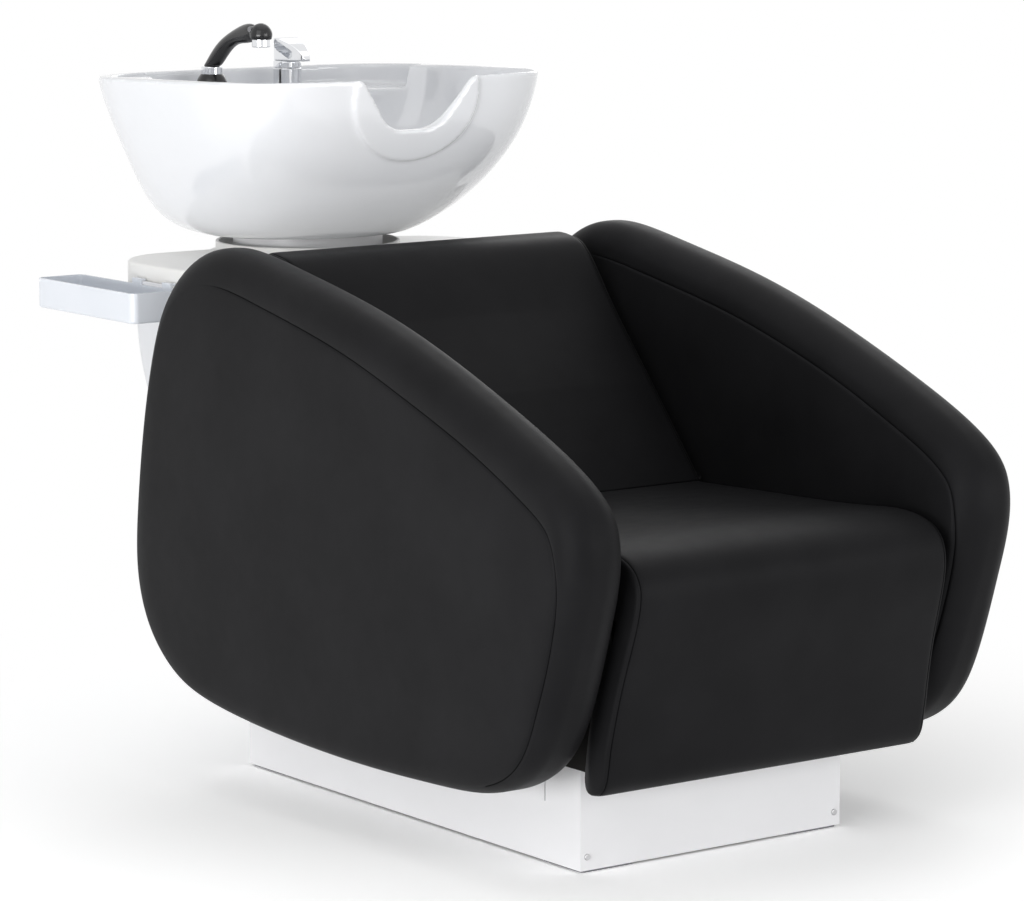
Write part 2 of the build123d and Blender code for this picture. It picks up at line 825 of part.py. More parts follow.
with BuildPart() as basin_foot:
    with BuildSketch(Plane.XY.offset(basin_base - foot_plate)):
        with Locations((0, basin_setback)):
            Circle(foot_radius)
            Circle(foot_hole_radius, mode=Mode.SUBTRACT)
    extrude(amount=foot_plate)
    with BuildSketch(Plane.XY.offset(basin_base - foot_drop)):
        with Locations((0, basin_setback)):
            Circle(foot_radius)
            Circle(foot_radius - foot_wall, mode=Mode.SUBTRACT)
    extrude(amount=foot_drop)
    with BuildSketch(side_plane(lug_inner)):
        with Locations((basin_setback, (pivot_height + basin_base) / 2)):
            Rectangle(2 * lug_half_width, basin_base - pivot_height)
        with Locations((basin_setback, pivot_height)):
            Circle(lug_half_width)
            Circle(pin_radius + running_gap, mode=Mode.SUBTRACT)
    extrude(amount=lug_thickness)
    mirror(about=Plane.YZ)
    with Locations((0, basin_setback, basin_base)):
        with GridLocations(2 * foot_screw_spread, 2 * foot_screw_spread, 2, 2):
            Hole(foot_screw_radius + fit_gap)
export(basin_foot, "basin_foot")

with BuildPart() as foot_screws:
    with BuildSketch(Plane.XY.offset(basin_base - foot_plate)):
        with Locations((0, basin_setback)):
            with GridLocations(2 * foot_screw_spread, 2 * foot_screw_spread, 2, 2):
                Circle(2 * foot_screw_radius)
    extrude(amount=-foot_screw_radius)
    with BuildSketch(Plane.XY.offset(basin_base - foot_plate)):
        with Locations((0, basin_setback)):
            with GridLocations(2 * foot_screw_spread, 2 * foot_screw_spread, 2, 2):
                Circle(foot_screw_radius)
    extrude(amount=foot_plate + foot_screw_depth)
export(foot_screws, "foot_screws")

washer_radius = 14
washer_gap = (ear_inner - lug_inner - lug_thickness) / 5

with BuildPart() as tilt_washers:
    with BuildSketch(side_plane(lug_inner + lug_thickness + washer_gap)):
        with Locations((basin_setback, pivot_height)):
            Circle(washer_radius)
            Circle(pin_radius + fit_gap, mode=Mode.SUBTRACT)
    extrude(amount=ear_inner - lug_inner - lug_thickness - washer_gap)
    mirror(about=Plane.YZ)
export(tilt_washers, "tilt_washers")

# Ceramic basin.  Each row gives a level as a share of the hull's height, the outline's size as a share
# of the rim's, its shift to the rear as a share of the rim's length, and how square the oval is.
hull_shares = (
    (0.0000, 0.540, 0.0180, 2.0),
    (0.0770, 0.695, 0.0320, 2.3),
    (0.2890, 0.838, -0.0180, 2.9),
    (0.6060, 0.945, -0.0560, 3.8),
    (1.0000, 1.000, -0.0693, 4.1),
)
# The bowl's rows: level between its floor and the hull's top, half width as a share of the basin's half
# width, front and rear edges as shares of the basin's length from its front edge, and squareness
bowl_shares = (
    (0.000, 0.200, 0.426, 0.660, 2.2),
    (0.092, 0.530, 0.229, 0.705, 2.5),
    (0.272, 0.735, 0.160, 0.731, 3.0),
    (0.512, 0.866, 0.089, 0.744, 3.6),
    (1.000, 0.943, 0.031, 0.763, 4.1),
)
oval_points = 24
bowl_floor = 34
rim_trim = 32
rim_slope = 1.5
rim_front_rise = basin_height - rim_trim
tap_deck_drop = 45
tap_deck_height = rim_front_rise - tap_deck_drop
tap_deck_wall = 16
shoulder_round = 36
rim_squareness = 4
outer_share = 0.978
rim_round = 5
tap_deck_reach = 370
tap_deck_thickness = 14
tap_row_inset = 70
notch_half_width = 100
notch_drop = 79
notch_floor_half = 45
notch_round = 50
notch_flare = 28
notch_bottom = rim_front_rise - notch_drop
notch_band_half_width = 112
notch_band_drop = 97
notch_band_depth = 30
notch_band_height = rim_front_rise - notch_band_depth
notch_band_swell = 6
notch_reach = 60
drain_hole_radius = 21
tap_hole_radius = 17.5
tunnel_half_width = 64
pocket_half_width = 94
pocket_length = 76
pocket_corner = 8
pocket_drop = 70
basin_front = basin_setback - (0.5 - hull_shares[-1][2]) * basin_length
rim_centre = basin_front + basin_length / 2
tap_row_setback = basin_front + basin_length - tap_row_inset
tap_deck_front = basin_front + tap_deck_reach
notch_inner_reach = basin_front + notch_reach
tap_deck_top = basin_base + tap_deck_height
pocket_roof = tap_deck_top - tap_deck_thickness
bowl_bottom = basin_base + bowl_floor


def oval(centre, half_x, half_y, squareness):
    """Points of a squared oval about (0, centre)."""
    points = []
    for step in range(oval_points):
        angle = 2 * math.pi * step / oval_points
        reach = (abs(math.cos(angle)) / half_x) ** squareness + (abs(math.sin(angle)) / half_y) ** squareness
        reach = reach ** (-1 / squareness)
        points.append((reach * math.cos(angle), centre + reach * math.sin(angle)))
    return points


def on_outer_rim(edge):
    """Whether an edge lies in the rim's plane and on its outer outline."""
    spot = edge @ 0.5
    fall = (spot.Y - basin_front) * math.tan(math.radians(rim_slope))
    across = (abs(spot.X) / (basin_width / 2)) ** rim_squareness
    along = (abs(spot.Y - rim_centre) / (basin_length / 2)) ** rim_squareness
    at_rim = abs(spot.Z - rim_level + fall) < soft_gap
    return at_rim and (across + along) ** (1 / rim_squareness) > outer_share


def hull(grow):
    """The basin's outer form, grown outwards by grow."""
    with BuildPart() as form:
        for level, size, shift, squareness in hull_shares:
            middle = basin_setback + shift * basin_length
            half_x = size * basin_width / 2 + grow
            half_y = size * basin_length / 2 + grow
            with BuildSketch(Plane.XY.offset(basin_base + basin_height * level)):
                with BuildLine():
                    Spline(*oval(middle, half_x, half_y, squareness), periodic=True)
                make_face()
        loft()
    return form.part


hull_form = hull(0)
swollen_hull_form = hull(notch_band_swell)

with BuildPart() as bowl_form:
    for level, width, front, rear, squareness in bowl_shares:
        near = basin_front + front * basin_length
        far = basin_front + rear * basin_length
        outline = oval((near + far) / 2, width * basin_width / 2, (far - near) / 2, squareness)
        with BuildSketch(Plane.XY.offset(bowl_bottom + level * (basin_height - bowl_floor))):
            with BuildLine():
                Spline(*outline, periodic=True)
            make_face()
    loft()

with BuildPart() as notch_band_form:
    with BuildSketch(front_plane(basin_front - notch_band_swell - overrun)):
        with Locations((0, basin_base + notch_band_height)):
            Ellipse(notch_band_half_width, notch_band_drop)
    extrude(amount=-(notch_inner_reach - basin_front + notch_band_swell + overrun))
    add(swollen_hull_form, mode=Mode.INTERSECT)

# Side outline of the tunnel that leads the tap hoses from the pocket down to the basin's foot: shares of
# the way from the tilt axis back to the tap row, and of the height from the foot up to the pocket's roof
tunnel_shares = (
    (0.150, -0.021),
    (0.425, -0.021),
    (0.425, 0.062),
    (0.794, 0.062),
    (1.225, 0.363),
    (1.225, 1.000),
    (0.750, 1.000),
    (0.700, 0.415),
    (0.500, 0.155),
    (0.275, 0.135),
    (0.150, 0.026),
)
tunnel_outline = [
    (
        basin_setback + back * (tap_row_setback - basin_setback),
        basin_base + up * (tap_deck_height - tap_deck_thickness),
    )
    for back, up in tunnel_shares
]
rim_level = basin_base + rim_front_rise
cutter_top = basin_base + basin_height + overrun
notch_cutter_half = notch_half_width + 2 * notch_flare

with BuildPart() as basin:
    add(hull_form)
    add(notch_band_form.part)
    add(bowl_form.part, mode=Mode.SUBTRACT)
    with BuildSketch(Plane.XY.offset(tap_deck_top)) as recess_plan:
        with BuildLine():
            Spline(
                *oval(
                    rim_centre,
                    basin_width / 2 - tap_deck_wall,
                    basin_length / 2 - tap_deck_wall,
                    rim_squareness,
                ),
                periodic=True,
            )
        make_face()
        with Locations((0, tap_deck_front + basin_length / 2)):
            Rectangle(basin_width, basin_length, mode=Mode.INTERSECT)
        fillet(recess_plan.vertices().group_by(Axis.Y)[0], shoulder_round)
    extrude(amount=basin_height - tap_deck_height + overrun, mode=Mode.SUBTRACT)
    with BuildSketch(front_plane(notch_inner_reach + 2 * overrun)) as notch_plan:
        with BuildLine():
            Polyline(
                (-notch_cutter_half, cutter_top),
                (-notch_cutter_half, rim_level),
                (-notch_half_width, rim_level),
                (-notch_floor_half, basin_base + notch_bottom),
                (notch_floor_half, basin_base + notch_bottom),
                (notch_half_width, rim_level),
                (notch_cutter_half, rim_level),
                (notch_cutter_half, cutter_top),
                close=True,
            )
        make_face()
        fillet(notch_plan.vertices().group_by(Axis.Y)[0], notch_round)
        corners = notch_plan.vertices()
        flared = [corner for corner in corners if abs(abs(corner.X) - notch_half_width) < fit_gap]
        fillet(flared, notch_flare)
    extrude(amount=basin_length / 2, mode=Mode.SUBTRACT)
    split(
        bisect_by=Plane(
            origin=(0, basin_front, basin_base + rim_front_rise),
            z_dir=(0, math.sin(math.radians(rim_slope)), math.cos(math.radians(rim_slope))),
        ),
        keep=Keep.BOTTOM,
    )
    fillet([edge for edge in basin.edges() if on_outer_rim(edge)], rim_round)
    with Locations((0, basin_setback, basin_base)):
        Hole(drain_hole_radius)
    with BuildSketch(Plane.XY.offset(tap_deck_top + overrun)):
        with Locations((0, tap_row_setback)):
            with GridLocations(tap_spacing, 0, 2, 1):
                Circle(tap_hole_radius)
    extrude(amount=-(tap_deck_thickness + 2 * overrun), mode=Mode.SUBTRACT)
    with BuildSketch(side_plane(-tunnel_half_width)):
        with BuildLine():
            Polyline(*tunnel_outline, close=True)
        make_face()
    extrude(amount=2 * tunnel_half_width, mode=Mode.SUBTRACT)
    with BuildSketch(Plane.XY.offset(pocket_roof)):
        with Locations((0, tap_row_setback)):
            RectangleRounded(2 * pocket_half_width, pocket_length, pocket_corner)
    extrude(amount=-pocket_drop, mode=Mode.SUBTRACT)
    with BuildSketch(Plane.XY.offset(basin_base)):
        with Locations((0, basin_setback)):
            with GridLocations(2 * foot_screw_spread, 2 * foot_screw_spread, 2, 2):
                Circle(foot_screw_radius + fit_gap)
    extrude(amount=foot_screw_depth + fit_gap, mode=Mode.SUBTRACT)
export(basin, "basin")

# Waste: flange and lift-out strainer in the bowl, tail into a cup on the base, bottle trap and pipe
drain_radius = 20
drain_wall = 3
cup_flange_rise = 5
drain_flange_radius = 34
drain_flange_thickness = 3
strainer_radius = 25
strainer_thickness = 1.6
strainer_hole_radius = 2.2
strainer_holes = 8
strainer_ring_radius = 15
waste_joint_drop = 18
waste_joint_height = basin_base - waste_joint_drop
waste_tail_end = mast_height + cup_flange_rise
cup_radius = 32
cup_bore_radius = 26
cup_depth = 45
cup_bottom = mast_height - cup_depth
cup_top = pivot_height - overrun
cup_flange_radius = 44
cup_flange_thickness = 3
trap_radius = 36
trap_height = 104
trap_wall = 3
trap_round = 14
pipe_radius = 20
pipe_wall = 2
pipe_bend = 44
trap_outlet_drop = 30
trap_outlet_height = cup_bottom - trap_outlet_drop
pipe_setback = upright_front + pipe_radius + soft_gap
outlet_reach = 36
outlet_end = plinth_depth / 2 + outlet_reach
drain_top = bowl_bottom + drain_flange_thickness

with BuildPart() as waste_flange:
    with BuildSketch(Plane.XY.offset(bowl_bottom)):
        with Locations((0, basin_setback)):
            Circle(drain_flange_radius)
    extrude(amount=drain_flange_thickness)
    fillet(waste_flange.edges().group_by(Axis.Z)[-1], drain_flange_thickness / 3)
    with BuildSketch(Plane.XY.offset(bowl_bottom)):
        with Locations((0, basin_setback)):
            Circle(drain_radius)
    extrude(amount=waste_joint_height - bowl_bottom)
    with Locations((0, basin_setback, drain_top)):
        CounterBoreHole(drain_radius - drain_wall, strainer_radius + fit_gap, strainer_thickness)
export(waste_flange, "waste_flange")

with BuildPart() as strainer:
    with BuildSketch(Plane.XY.offset(drain_top - strainer_thickness)):
        with Locations((0, basin_setback)):
            Circle(strainer_radius)
            Circle(strainer_hole_radius, mode=Mode.SUBTRACT)
            with PolarLocations(strainer_ring_radius - 3 * strainer_hole_radius, strainer_holes - 2):
                Circle(strainer_hole_radius, mode=Mode.SUBTRACT)
    extrude(amount=strainer_thickness)
export(strainer, "strainer")

with BuildPart() as waste_tail:
    with BuildSketch(Plane.XY.offset(waste_joint_height)):
        with Locations((0, basin_setback)):
            Circle(drain_radius)
            Circle(drain_radius - drain_wall, mode=Mode.SUBTRACT)
    extrude(amount=waste_tail_end - waste_joint_height)
export(waste_tail, "waste_tail")

with BuildPart() as waste_cup:
    with BuildSketch(Plane.XY.offset(cup_bottom)):
        with Locations((0, basin_setback)):
            Circle(cup_radius)
            Circle(cup_bore_radius, mode=Mode.SUBTRACT)
    extrude(amount=cup_top - cup_bottom)
    with BuildSketch(Plane.XY.offset(bracket_top)):
        with Locations((0, basin_setback)):
            Circle(cup_flange_radius)
            Circle(cup_bore_radius, mode=Mode.SUBTRACT)
    extrude(amount=cup_flange_thickness)
export(waste_cup, "waste_cup")

with BuildPart() as bottle_trap:
    with BuildSketch(Plane.XY.offset(cup_bottom)):
        with Locations((0, basin_setback)):
            Circle(trap_radius)
    extrude(amount=-trap_height)
    fillet(bottle_trap.edges().group_by(Axis.Z)[0], trap_round)
    with BuildSketch(Plane.XY.offset(cup_bottom)):
        with Locations((0, basin_setback)):
            Circle(trap_radius - trap_wall)
    extrude(amount=-(trap_height - trap_round), mode=Mode.SUBTRACT)
    with BuildSketch(Plane.XY.offset(cup_bottom)):
        with Locations((0, basin_setback)):
            Circle(trap_radius)
            Circle(cup_bore_radius, mode=Mode.SUBTRACT)
    extrude(amount=-trap_wall)
    with BuildSketch(front_plane(basin_setback - trap_radius - trap_wall)):
        with Locations((0, trap_outlet_height)):
            Circle(pipe_radius)
    extrude(amount=-2 * trap_wall)
    with BuildSketch(front_plane(basin_setback - trap_radius - 2 * trap_wall)):
        with Locations((0, trap_outlet_height)):
            Circle(pipe_radius - pipe_wall)
    extrude(amount=-trap_radius, mode=Mode.SUBTRACT)
export(bottle_trap, "bottle_trap")


def tube_along(points, bend, outer, inner=0):
    """A round tube whose middle follows straight runs joined by arcs of one radius."""
    with BuildPart() as tube:
        with BuildLine() as route:
            FilletPolyline(*points, radius=bend)
        with BuildSketch(Plane(origin=route.line @ 0, z_dir=route.line % 0)):
            Circle(outer)
            if inner:
                Circle(inner, mode=Mode.SUBTRACT)
        sweep(path=route.line)
    return tube


pipe_route = (
    (0, basin_setback - trap_radius - trap_wall, trap_outlet_height),
    (0, basin_setback - 3 * trap_radius, trap_outlet_height),
    (0, pipe_setback, cup_bottom - 2 * trap_height),
    (0, pipe_setback, outlet_height),
    (0, outlet_end, outlet_height),
)
waste_pipe = tube_along(pipe_route, pipe_bend, pipe_radius, pipe_radius - pipe_wall)
export(waste_pipe, "waste_pipe")

# Water supply on the base: from the tilt axis down to two threaded nipples behind the plinth
supply_radius = 6
supply_bore = 4
supply_bend = 22
supply_drop = 60
supply_rise = 100
supply_clearance = 5
supply_drop_height = mast_height - supply_drop
supply_low_height = plinth_height + supply_rise
supply_pipe_setback = upright_rear + supply_radius + supply_clearance
nipple_radius = 10.5
nipple_bore = 5
nipple_length = 15
nipple_nut_radius = 13
nipple_nut_length = 10
supply_end = outlet_end - nipple_length - nipple_nut_length

for side, hand in ((-1, "right"), (1, "left")):
    supply_route = (
        (side * supply_x, basin_setback, pivot_height - soft_gap),
        (side * supply_x, basin_setback, supply_drop_height),
        (side * supply_x, supply_pipe_setback, supply_low_height),
        (side * supply_x, supply_pipe_setback, outlet_height),
        (side * supply_x, supply_end, outlet_height),
    )
    supply_pipe = tube_along(supply_route, supply_bend / 2, supply_radius, supply_bore)
    export(supply_pipe, f"supply_pipe_{hand}")

with BuildPart() as supply_nipples:
    with BuildSketch(front_plane(supply_end)):
        with Locations((-supply_x, outlet_height), (supply_x, outlet_height)):
            RegularPolygon(nipple_nut_radius, 6)
            Circle(nipple_bore, mode=Mode.SUBTRACT)
    extrude(amount=-nipple_nut_length)
    with BuildSketch(front_plane(supply_end + nipple_nut_length)):
        with Locations((-supply_x, outlet_height), (supply_x, outlet_height)):
            Circle(nipple_radius)
            Circle(nipple_bore, mode=Mode.SUBTRACT)
    extrude(amount=-nipple_length)
export(supply_nipples, "supply_nipples")

# Mixer tap on the left of the tap deck: fixed body, swivelling stem and a tipping loop lever
tap_x = tap_spacing / 2
tap_radius = 22
tap_shank_radius = 17
tap_shank_drop = 23
tap_shank_end = pocket_roof - tap_shank_drop
tap_body_height = 33
groove_depth = 1.5
stem_gap = 0.3
stem_height = 11.5
stem_dome = 3
spindle_radius = 8
spindle_length = 20
lever_front = -58
lever_length = 80
lever_rise = 45
lever_height = 35
lever_tip_radius = 8
lever_cap_radius = 21
lever_shares = (
    (0.00, 0.10),
    (0.10, 0.36),
    (0.30, 0.67),
    (0.55, 0.89),
    (0.78, 1.00),
    (0.93, 0.90),
    (1.00, 0.58),
)
lever_slot_length = 46
lever_slot_width = 13
lever_slot_front = 11.5
lever_slot_up = 18
lever_slot_turn = 28
lever_travel = 25
tongue_thickness = 6
tongue_half_width = 5
tongue_gap = 0.4
lever_pivot_back = 10
lever_pivot_up = 6
lever_pin_radius = 2.5
lever_pin_hold = 3
lever_base = tap_deck_top + lever_rise
stem_bottom = tap_deck_top + tap_body_height + stem_gap
stem_top = stem_bottom + stem_height

with BuildPart() as mixer_body:
    with BuildSketch(Plane.XY.offset(tap_deck_top)):
        with Locations((tap_x, tap_row_setback)):
            Circle(tap_radius)
    extrude(amount=tap_body_height)
    fillet(mixer_body.edges().group_by(Axis.Z)[-1], groove_depth)
    with BuildSketch(Plane.XY.offset(tap_deck_top)):
        with Locations((tap_x, tap_row_setback)):
            Circle(tap_shank_radius)
    extrude(amount=tap_shank_end - tap_deck_top)
    with Locations((tap_x, tap_row_setback, tap_deck_top + tap_body_height)):
        Hole(spindle_radius + running_gap, depth=spindle_length)
export(mixer_body, "mixer_body")

with BuildPart() as mixer_stem:
    with BuildSketch(Plane.XY.offset(stem_bottom)):
        with Locations((tap_x, tap_row_setback)):
            Circle(tap_radius)
    extrude(amount=stem_height)
    fillet(mixer_stem.edges().group_by(Axis.Z)[-1], stem_dome)
    fillet(mixer_stem.edges().group_by(Axis.Z)[0], groove_depth)
    with BuildSketch(Plane.XY.offset(stem_bottom)):
        with Locations((tap_x, tap_row_setback)):
            Circle(spindle_radius)
    extrude(amount=-(spindle_length - stem_gap - groove_depth))
    with BuildSketch(side_plane(tap_x - tap_radius)):
        with BuildLine():
            Polyline(
                (tap_row_setback + lever_pivot_back - stem_dome, stem_top),
                (tap_row_setback + lever_pivot_back - stem_dome, stem_top + stem_dome),
                (tap_row_setback + lever_pivot_back + tap_radius, stem_top + stem_dome),
                (
                    tap_row_setback + lever_pivot_back + tap_radius,
                    stem_top - (tap_radius + stem_dome) * math.tan(math.radians(lever_travel)),
                ),
                close=True,
            )
        make_face()
    extrude(amount=2 * tap_radius, mode=Mode.SUBTRACT)
    with BuildSketch(side_plane(tap_x - tongue_thickness / 2)):
        with Locations((tap_row_setback + lever_pivot_back - tongue_half_width / 2, stem_top)):
            Rectangle(2 * tongue_half_width, 2 * stem_dome)
        with Locations((tap_row_setback + lever_pivot_back, lever_base + lever_pivot_up)):
            Circle(tongue_half_width)
        with BuildLine():
            Polyline(
                (tap_row_setback + lever_pivot_back - 1.5 * tongue_half_width, stem_top),
                (tap_row_setback + lever_pivot_back + 0.5 * tongue_half_width, stem_top),
                (tap_row_setback + lever_pivot_back + tongue_half_width, lever_base + lever_pivot_up),
                (tap_row_setback + lever_pivot_back - tongue_half_width, lever_base + lever_pivot_up),
                close=True,
            )
        make_face()
        with Locations((tap_row_setback + lever_pivot_back, lever_base + lever_pivot_up)):
            Circle(lever_pin_radius + running_gap, mode=Mode.SUBTRACT)
    extrude(amount=tongue_thickness)
export(mixer_stem, "mixer_stem")

pivot_y = tap_row_setback + lever_pivot_back
pivot_z = lever_base + lever_pivot_up
pocket_half = 1.7 * tongue_half_width
pocket_height = lever_pivot_up + tongue_half_width + 5 * tongue_gap
lever_crest = [
    (tap_row_setback + lever_front + lever_length * along, lever_base + lever_height * up)
    for along, up in lever_shares
]

with BuildPart() as mixer_lever:
    with BuildSketch(side_plane(tap_x - lever_cap_radius)):
        with BuildLine():
            crest = Spline(*lever_crest)
            Polyline(
                crest @ 1,
                (tap_row_setback + lever_front + 0.97 * lever_length, lever_base),
                (tap_row_setback + lever_front + 0.03 * lever_length, lever_base),
                crest @ 0,
            )
        make_face()
        with Locations((tap_row_setback - lever_slot_front, lever_base + lever_slot_up)):
            SlotOverall(lever_slot_length, lever_slot_width, rotation=lever_slot_turn, mode=Mode.SUBTRACT)
    extrude(amount=2 * lever_cap_radius)
    with BuildSketch(Plane.XY.offset(lever_base)):
        with Locations((tap_x, tap_row_setback)):
            Circle(lever_cap_radius)
        with Locations((tap_x, tap_row_setback + lever_front + lever_tip_radius)):
            Circle(lever_tip_radius)
        make_hull()
    extrude(amount=lever_height + overrun, mode=Mode.INTERSECT)
    with BuildSketch(side_plane(tap_x - tongue_thickness / 2 - tongue_gap)):
        with Locations((pivot_y, lever_base)):
            Rectangle(2 * pocket_half, 2 * pocket_height)
    extrude(amount=tongue_thickness + 2 * tongue_gap, mode=Mode.SUBTRACT)
    with BuildSketch(side_plane(tap_x - tongue_thickness / 2 - lever_pin_hold)):
        with Locations((pivot_y, pivot_z)):
            Circle(lever_pin_radius)
    extrude(amount=tongue_thickness + 2 * lever_pin_hold)
export(mixer_lever, "mixer_lever")

# Hand shower on the right of the tap deck: domed holder, chrome ring, bent handle, rose and button
holder_radius = 26
holder_height = 28.5
holder_top_radius = 17
holder_bore = 11
ring_radius = 16.5
ring_height = 11.5
spigot_radius = 10.8
spigot_length = 22
head_setback = -140.5
head_radius = 17.5
head_rise = 95
rose_radius = 14
rose_height = 11.5
rose_hole_radius = 1.2
rose_holes = 12
button_radius = 4.5
button_travel = 1.5
button_sink = 1
button_length = 12
button_round = 1
button_along = 8.5
button_up = 103
ring_top = tap_deck_top + holder_height + ring_height
head_y = tap_row_setback + head_setback
head_z = tap_deck_top + head_rise
head_flat = 7.5
rose_top = head_z - head_flat
# The handle leans back from its foot to the head: along its reach, up its rise, fullness and lean
handle_foot = 41
handle_rise = 56
handle_reach = 134
handle_radius = 12.5
handle_shares = (
    (0, 0, 1, 0),
    (0.078, 0.143, 0.96, 38),
    (0.276, 0.536, 0.96, 56),
    (0.597, 0.884, 1, 68),
    (0.858, 1, 1.08, 80),
    (1, 0.991, 1.04, 88),
)

with BuildPart() as handset_holder:
    with BuildSketch(Plane.XZ.offset(-tap_row_setback)):
        with BuildLine():
            foot = Line((-tap_x, tap_deck_top), (-tap_x + holder_radius, tap_deck_top))
            dome = Spline(
                foot @ 1,
                (-tap_x + 0.96 * holder_radius, tap_deck_top + 0.3 * holder_height),
                (-tap_x + 0.83 * holder_radius, tap_deck_top + 0.75 * holder_height),
                (-tap_x + holder_top_radius, tap_deck_top + holder_height),
            )
            Polyline(dome @ 1, (-tap_x, tap_deck_top + holder_height), foot @ 0)
        make_face()
    revolve(axis=Axis((-tap_x, tap_row_setback, 0), (0, 0, 1)))
    with BuildSketch(Plane.XY.offset(tap_deck_top)):
        with Locations((-tap_x, tap_row_setback)):
            Circle(tap_shank_radius)
    extrude(amount=tap_shank_end - tap_deck_top)
    with Locations((-tap_x, tap_row_setback, tap_deck_top + holder_height)):
        Hole(holder_bore)
export(handset_holder, "handset_holder")

with BuildPart() as holder_ring:
    with BuildSketch(Plane.XY.offset(tap_deck_top + holder_height)):
        with Locations((-tap_x, tap_row_setback)):
            Circle(ring_radius)
            Circle(holder_bore, mode=Mode.SUBTRACT)
    extrude(amount=ring_height)
    fillet(holder_ring.edges().group_by(Axis.Z)[-1].sort_by(SortBy.RADIUS)[-1], groove_depth)
export(holder_ring, "holder_ring")

with BuildPart() as handset:
    for along, up, fullness, lean_over in handle_shares:
        turn = math.radians(lean_over)
        with BuildSketch(
            Plane(
                origin=(
                    -tap_x,
                    tap_row_setback - along * handle_reach,
                    tap_deck_top + handle_foot + up * handle_rise,
                ),
                x_dir=(1, 0, 0),
                z_dir=(0, -math.sin(turn), math.cos(turn)),
            )
        ):
            Circle(fullness * handle_radius)
    loft()
    with Locations((-tap_x, head_y, head_z)):
        Sphere(head_radius)
    with BuildSketch(Plane.XY.offset(rose_top)):
        with Locations((-tap_x, head_y)):
            Circle(head_radius)
    extrude(amount=-2 * head_radius, mode=Mode.SUBTRACT)
    with BuildSketch(Plane.XY.offset(tap_deck_top + handle_foot)):
        with Locations((-tap_x, tap_row_setback)):
            Circle(spigot_radius)
    extrude(amount=-spigot_length)
    with BuildSketch(side_plane(-tap_x - head_radius - button_length)):
        with Locations((head_y + button_along, tap_deck_top + button_up)):
            Circle(button_radius + stem_gap)
    extrude(amount=2 * button_length + button_travel, mode=Mode.SUBTRACT)
export(handset, "handset")

with BuildPart() as handset_rose:
    with BuildSketch(Plane.XY.offset(rose_top)):
        with Locations((-tap_x, head_y)):
            Circle(rose_radius)
    extrude(amount=-rose_height)
    fillet(handset_rose.edges().group_by(Axis.Z)[0], groove_depth)
    with BuildSketch(Plane.XY.offset(rose_top - rose_height)):
        with Locations((-tap_x, head_y)):
            with PolarLocations(rose_radius / 2, rose_holes):
                Circle(rose_hole_radius)
    extrude(amount=groove_depth, mode=Mode.SUBTRACT)
export(handset_rose, "handset_rose")

button_face = -tap_x - head_radius + button_sink

with BuildPart() as handset_button:
    with BuildSketch(side_plane(button_face)):
        with Locations((head_y + button_along, tap_deck_top + button_up)):
            Circle(button_radius)
    extrude(amount=button_length - button_travel)
    fillet(handset_button.edges().filter_by(GeomType.CIRCLE).group_by(Axis.X)[0], button_round)
export(handset_button, "handset_button")

tap_nut_radius = 24
tap_nut_height = 10

with BuildPart() as tap_nuts:
    with BuildSketch(Plane.XY.offset(pocket_roof)):
        with Locations((0, tap_row_setback)):
            with GridLocations(tap_spacing, 0, 2, 1):
                RegularPolygon(tap_nut_radius, 6)
                Circle(tap_shank_radius + fit_gap, mode=Mode.SUBTRACT)
    extrude(amount=-tap_nut_height)
export(tap_nuts, "tap_nuts")

# Hoses inside the basin: the shower hose, and two tails that end on the tilt axis
hose_radius = 6
hose_bore = 4
hose_bend = 18
tail_radius = 4.5
tail_bend = 9
hose_loop_drop = 34
hose_low = tap_shank_end - hose_loop_drop
tail_port_x = 10
tail_port_y = 7
right_tail_drop = 12
left_tail_drop = 23
tail_cross_drop = 20
tail_swing_drop = 46
tunnel_rise = 82
tunnel_front = 48
tunnel_run = 45
tunnel_middle = 19
tail_end_rise = 15
tail_y = tap_row_setback - tail_port_y
tunnel_level = basin_base + tunnel_middle

hose_route = (
    (tap_x, tap_row_setback + tail_port_y + soft_gap, tap_shank_end),
    (tap_x, tap_row_setback + tail_port_y + soft_gap, hose_low),
    (-tap_x, tap_row_setback, hose_low),
    (-tap_x, tap_row_setback, ring_top - spigot_length - soft_gap),
)
shower_hose = tube_along(hose_route, hose_bend, hose_radius, hose_bore)
export(shower_hose, "shower_hose")


def tail_route(port_x, end_x, port_drop, swing_drop):
    """A water tail from its port under the mixer, down the pocket and tunnel to the tilt axis."""
    return (
        (port_x, tail_y, tap_shank_end),
        (port_x, tail_y, tap_shank_end - port_drop),
        (end_x, tail_y, tap_shank_end - port_drop - swing_drop),
        (end_x, tail_y, basin_base + tunnel_rise),
        (end_x, tap_row_setback - tunnel_front, tunnel_level),
        (end_x, tap_row_setback - tunnel_front - tunnel_run, tunnel_level),
        (end_x, basin_setback, pivot_height + tail_end_rise),
        (end_x, basin_setback, pivot_height + soft_gap),
    )


right_tail_route = tail_route(tap_x - tail_port_x, -supply_x, right_tail_drop, tail_swing_drop)
left_tail_route = tail_route(tap_x + tail_port_x, supply_x, left_tail_drop, tail_cross_drop)
mixer_tail_right = tube_along(right_tail_route, tail_bend, tail_radius)
export(mixer_tail_right, "mixer_tail_right")
mixer_tail_left = tube_along(left_tail_route, tail_bend, tail_radius)
export(mixer_tail_left, "mixer_tail_left")

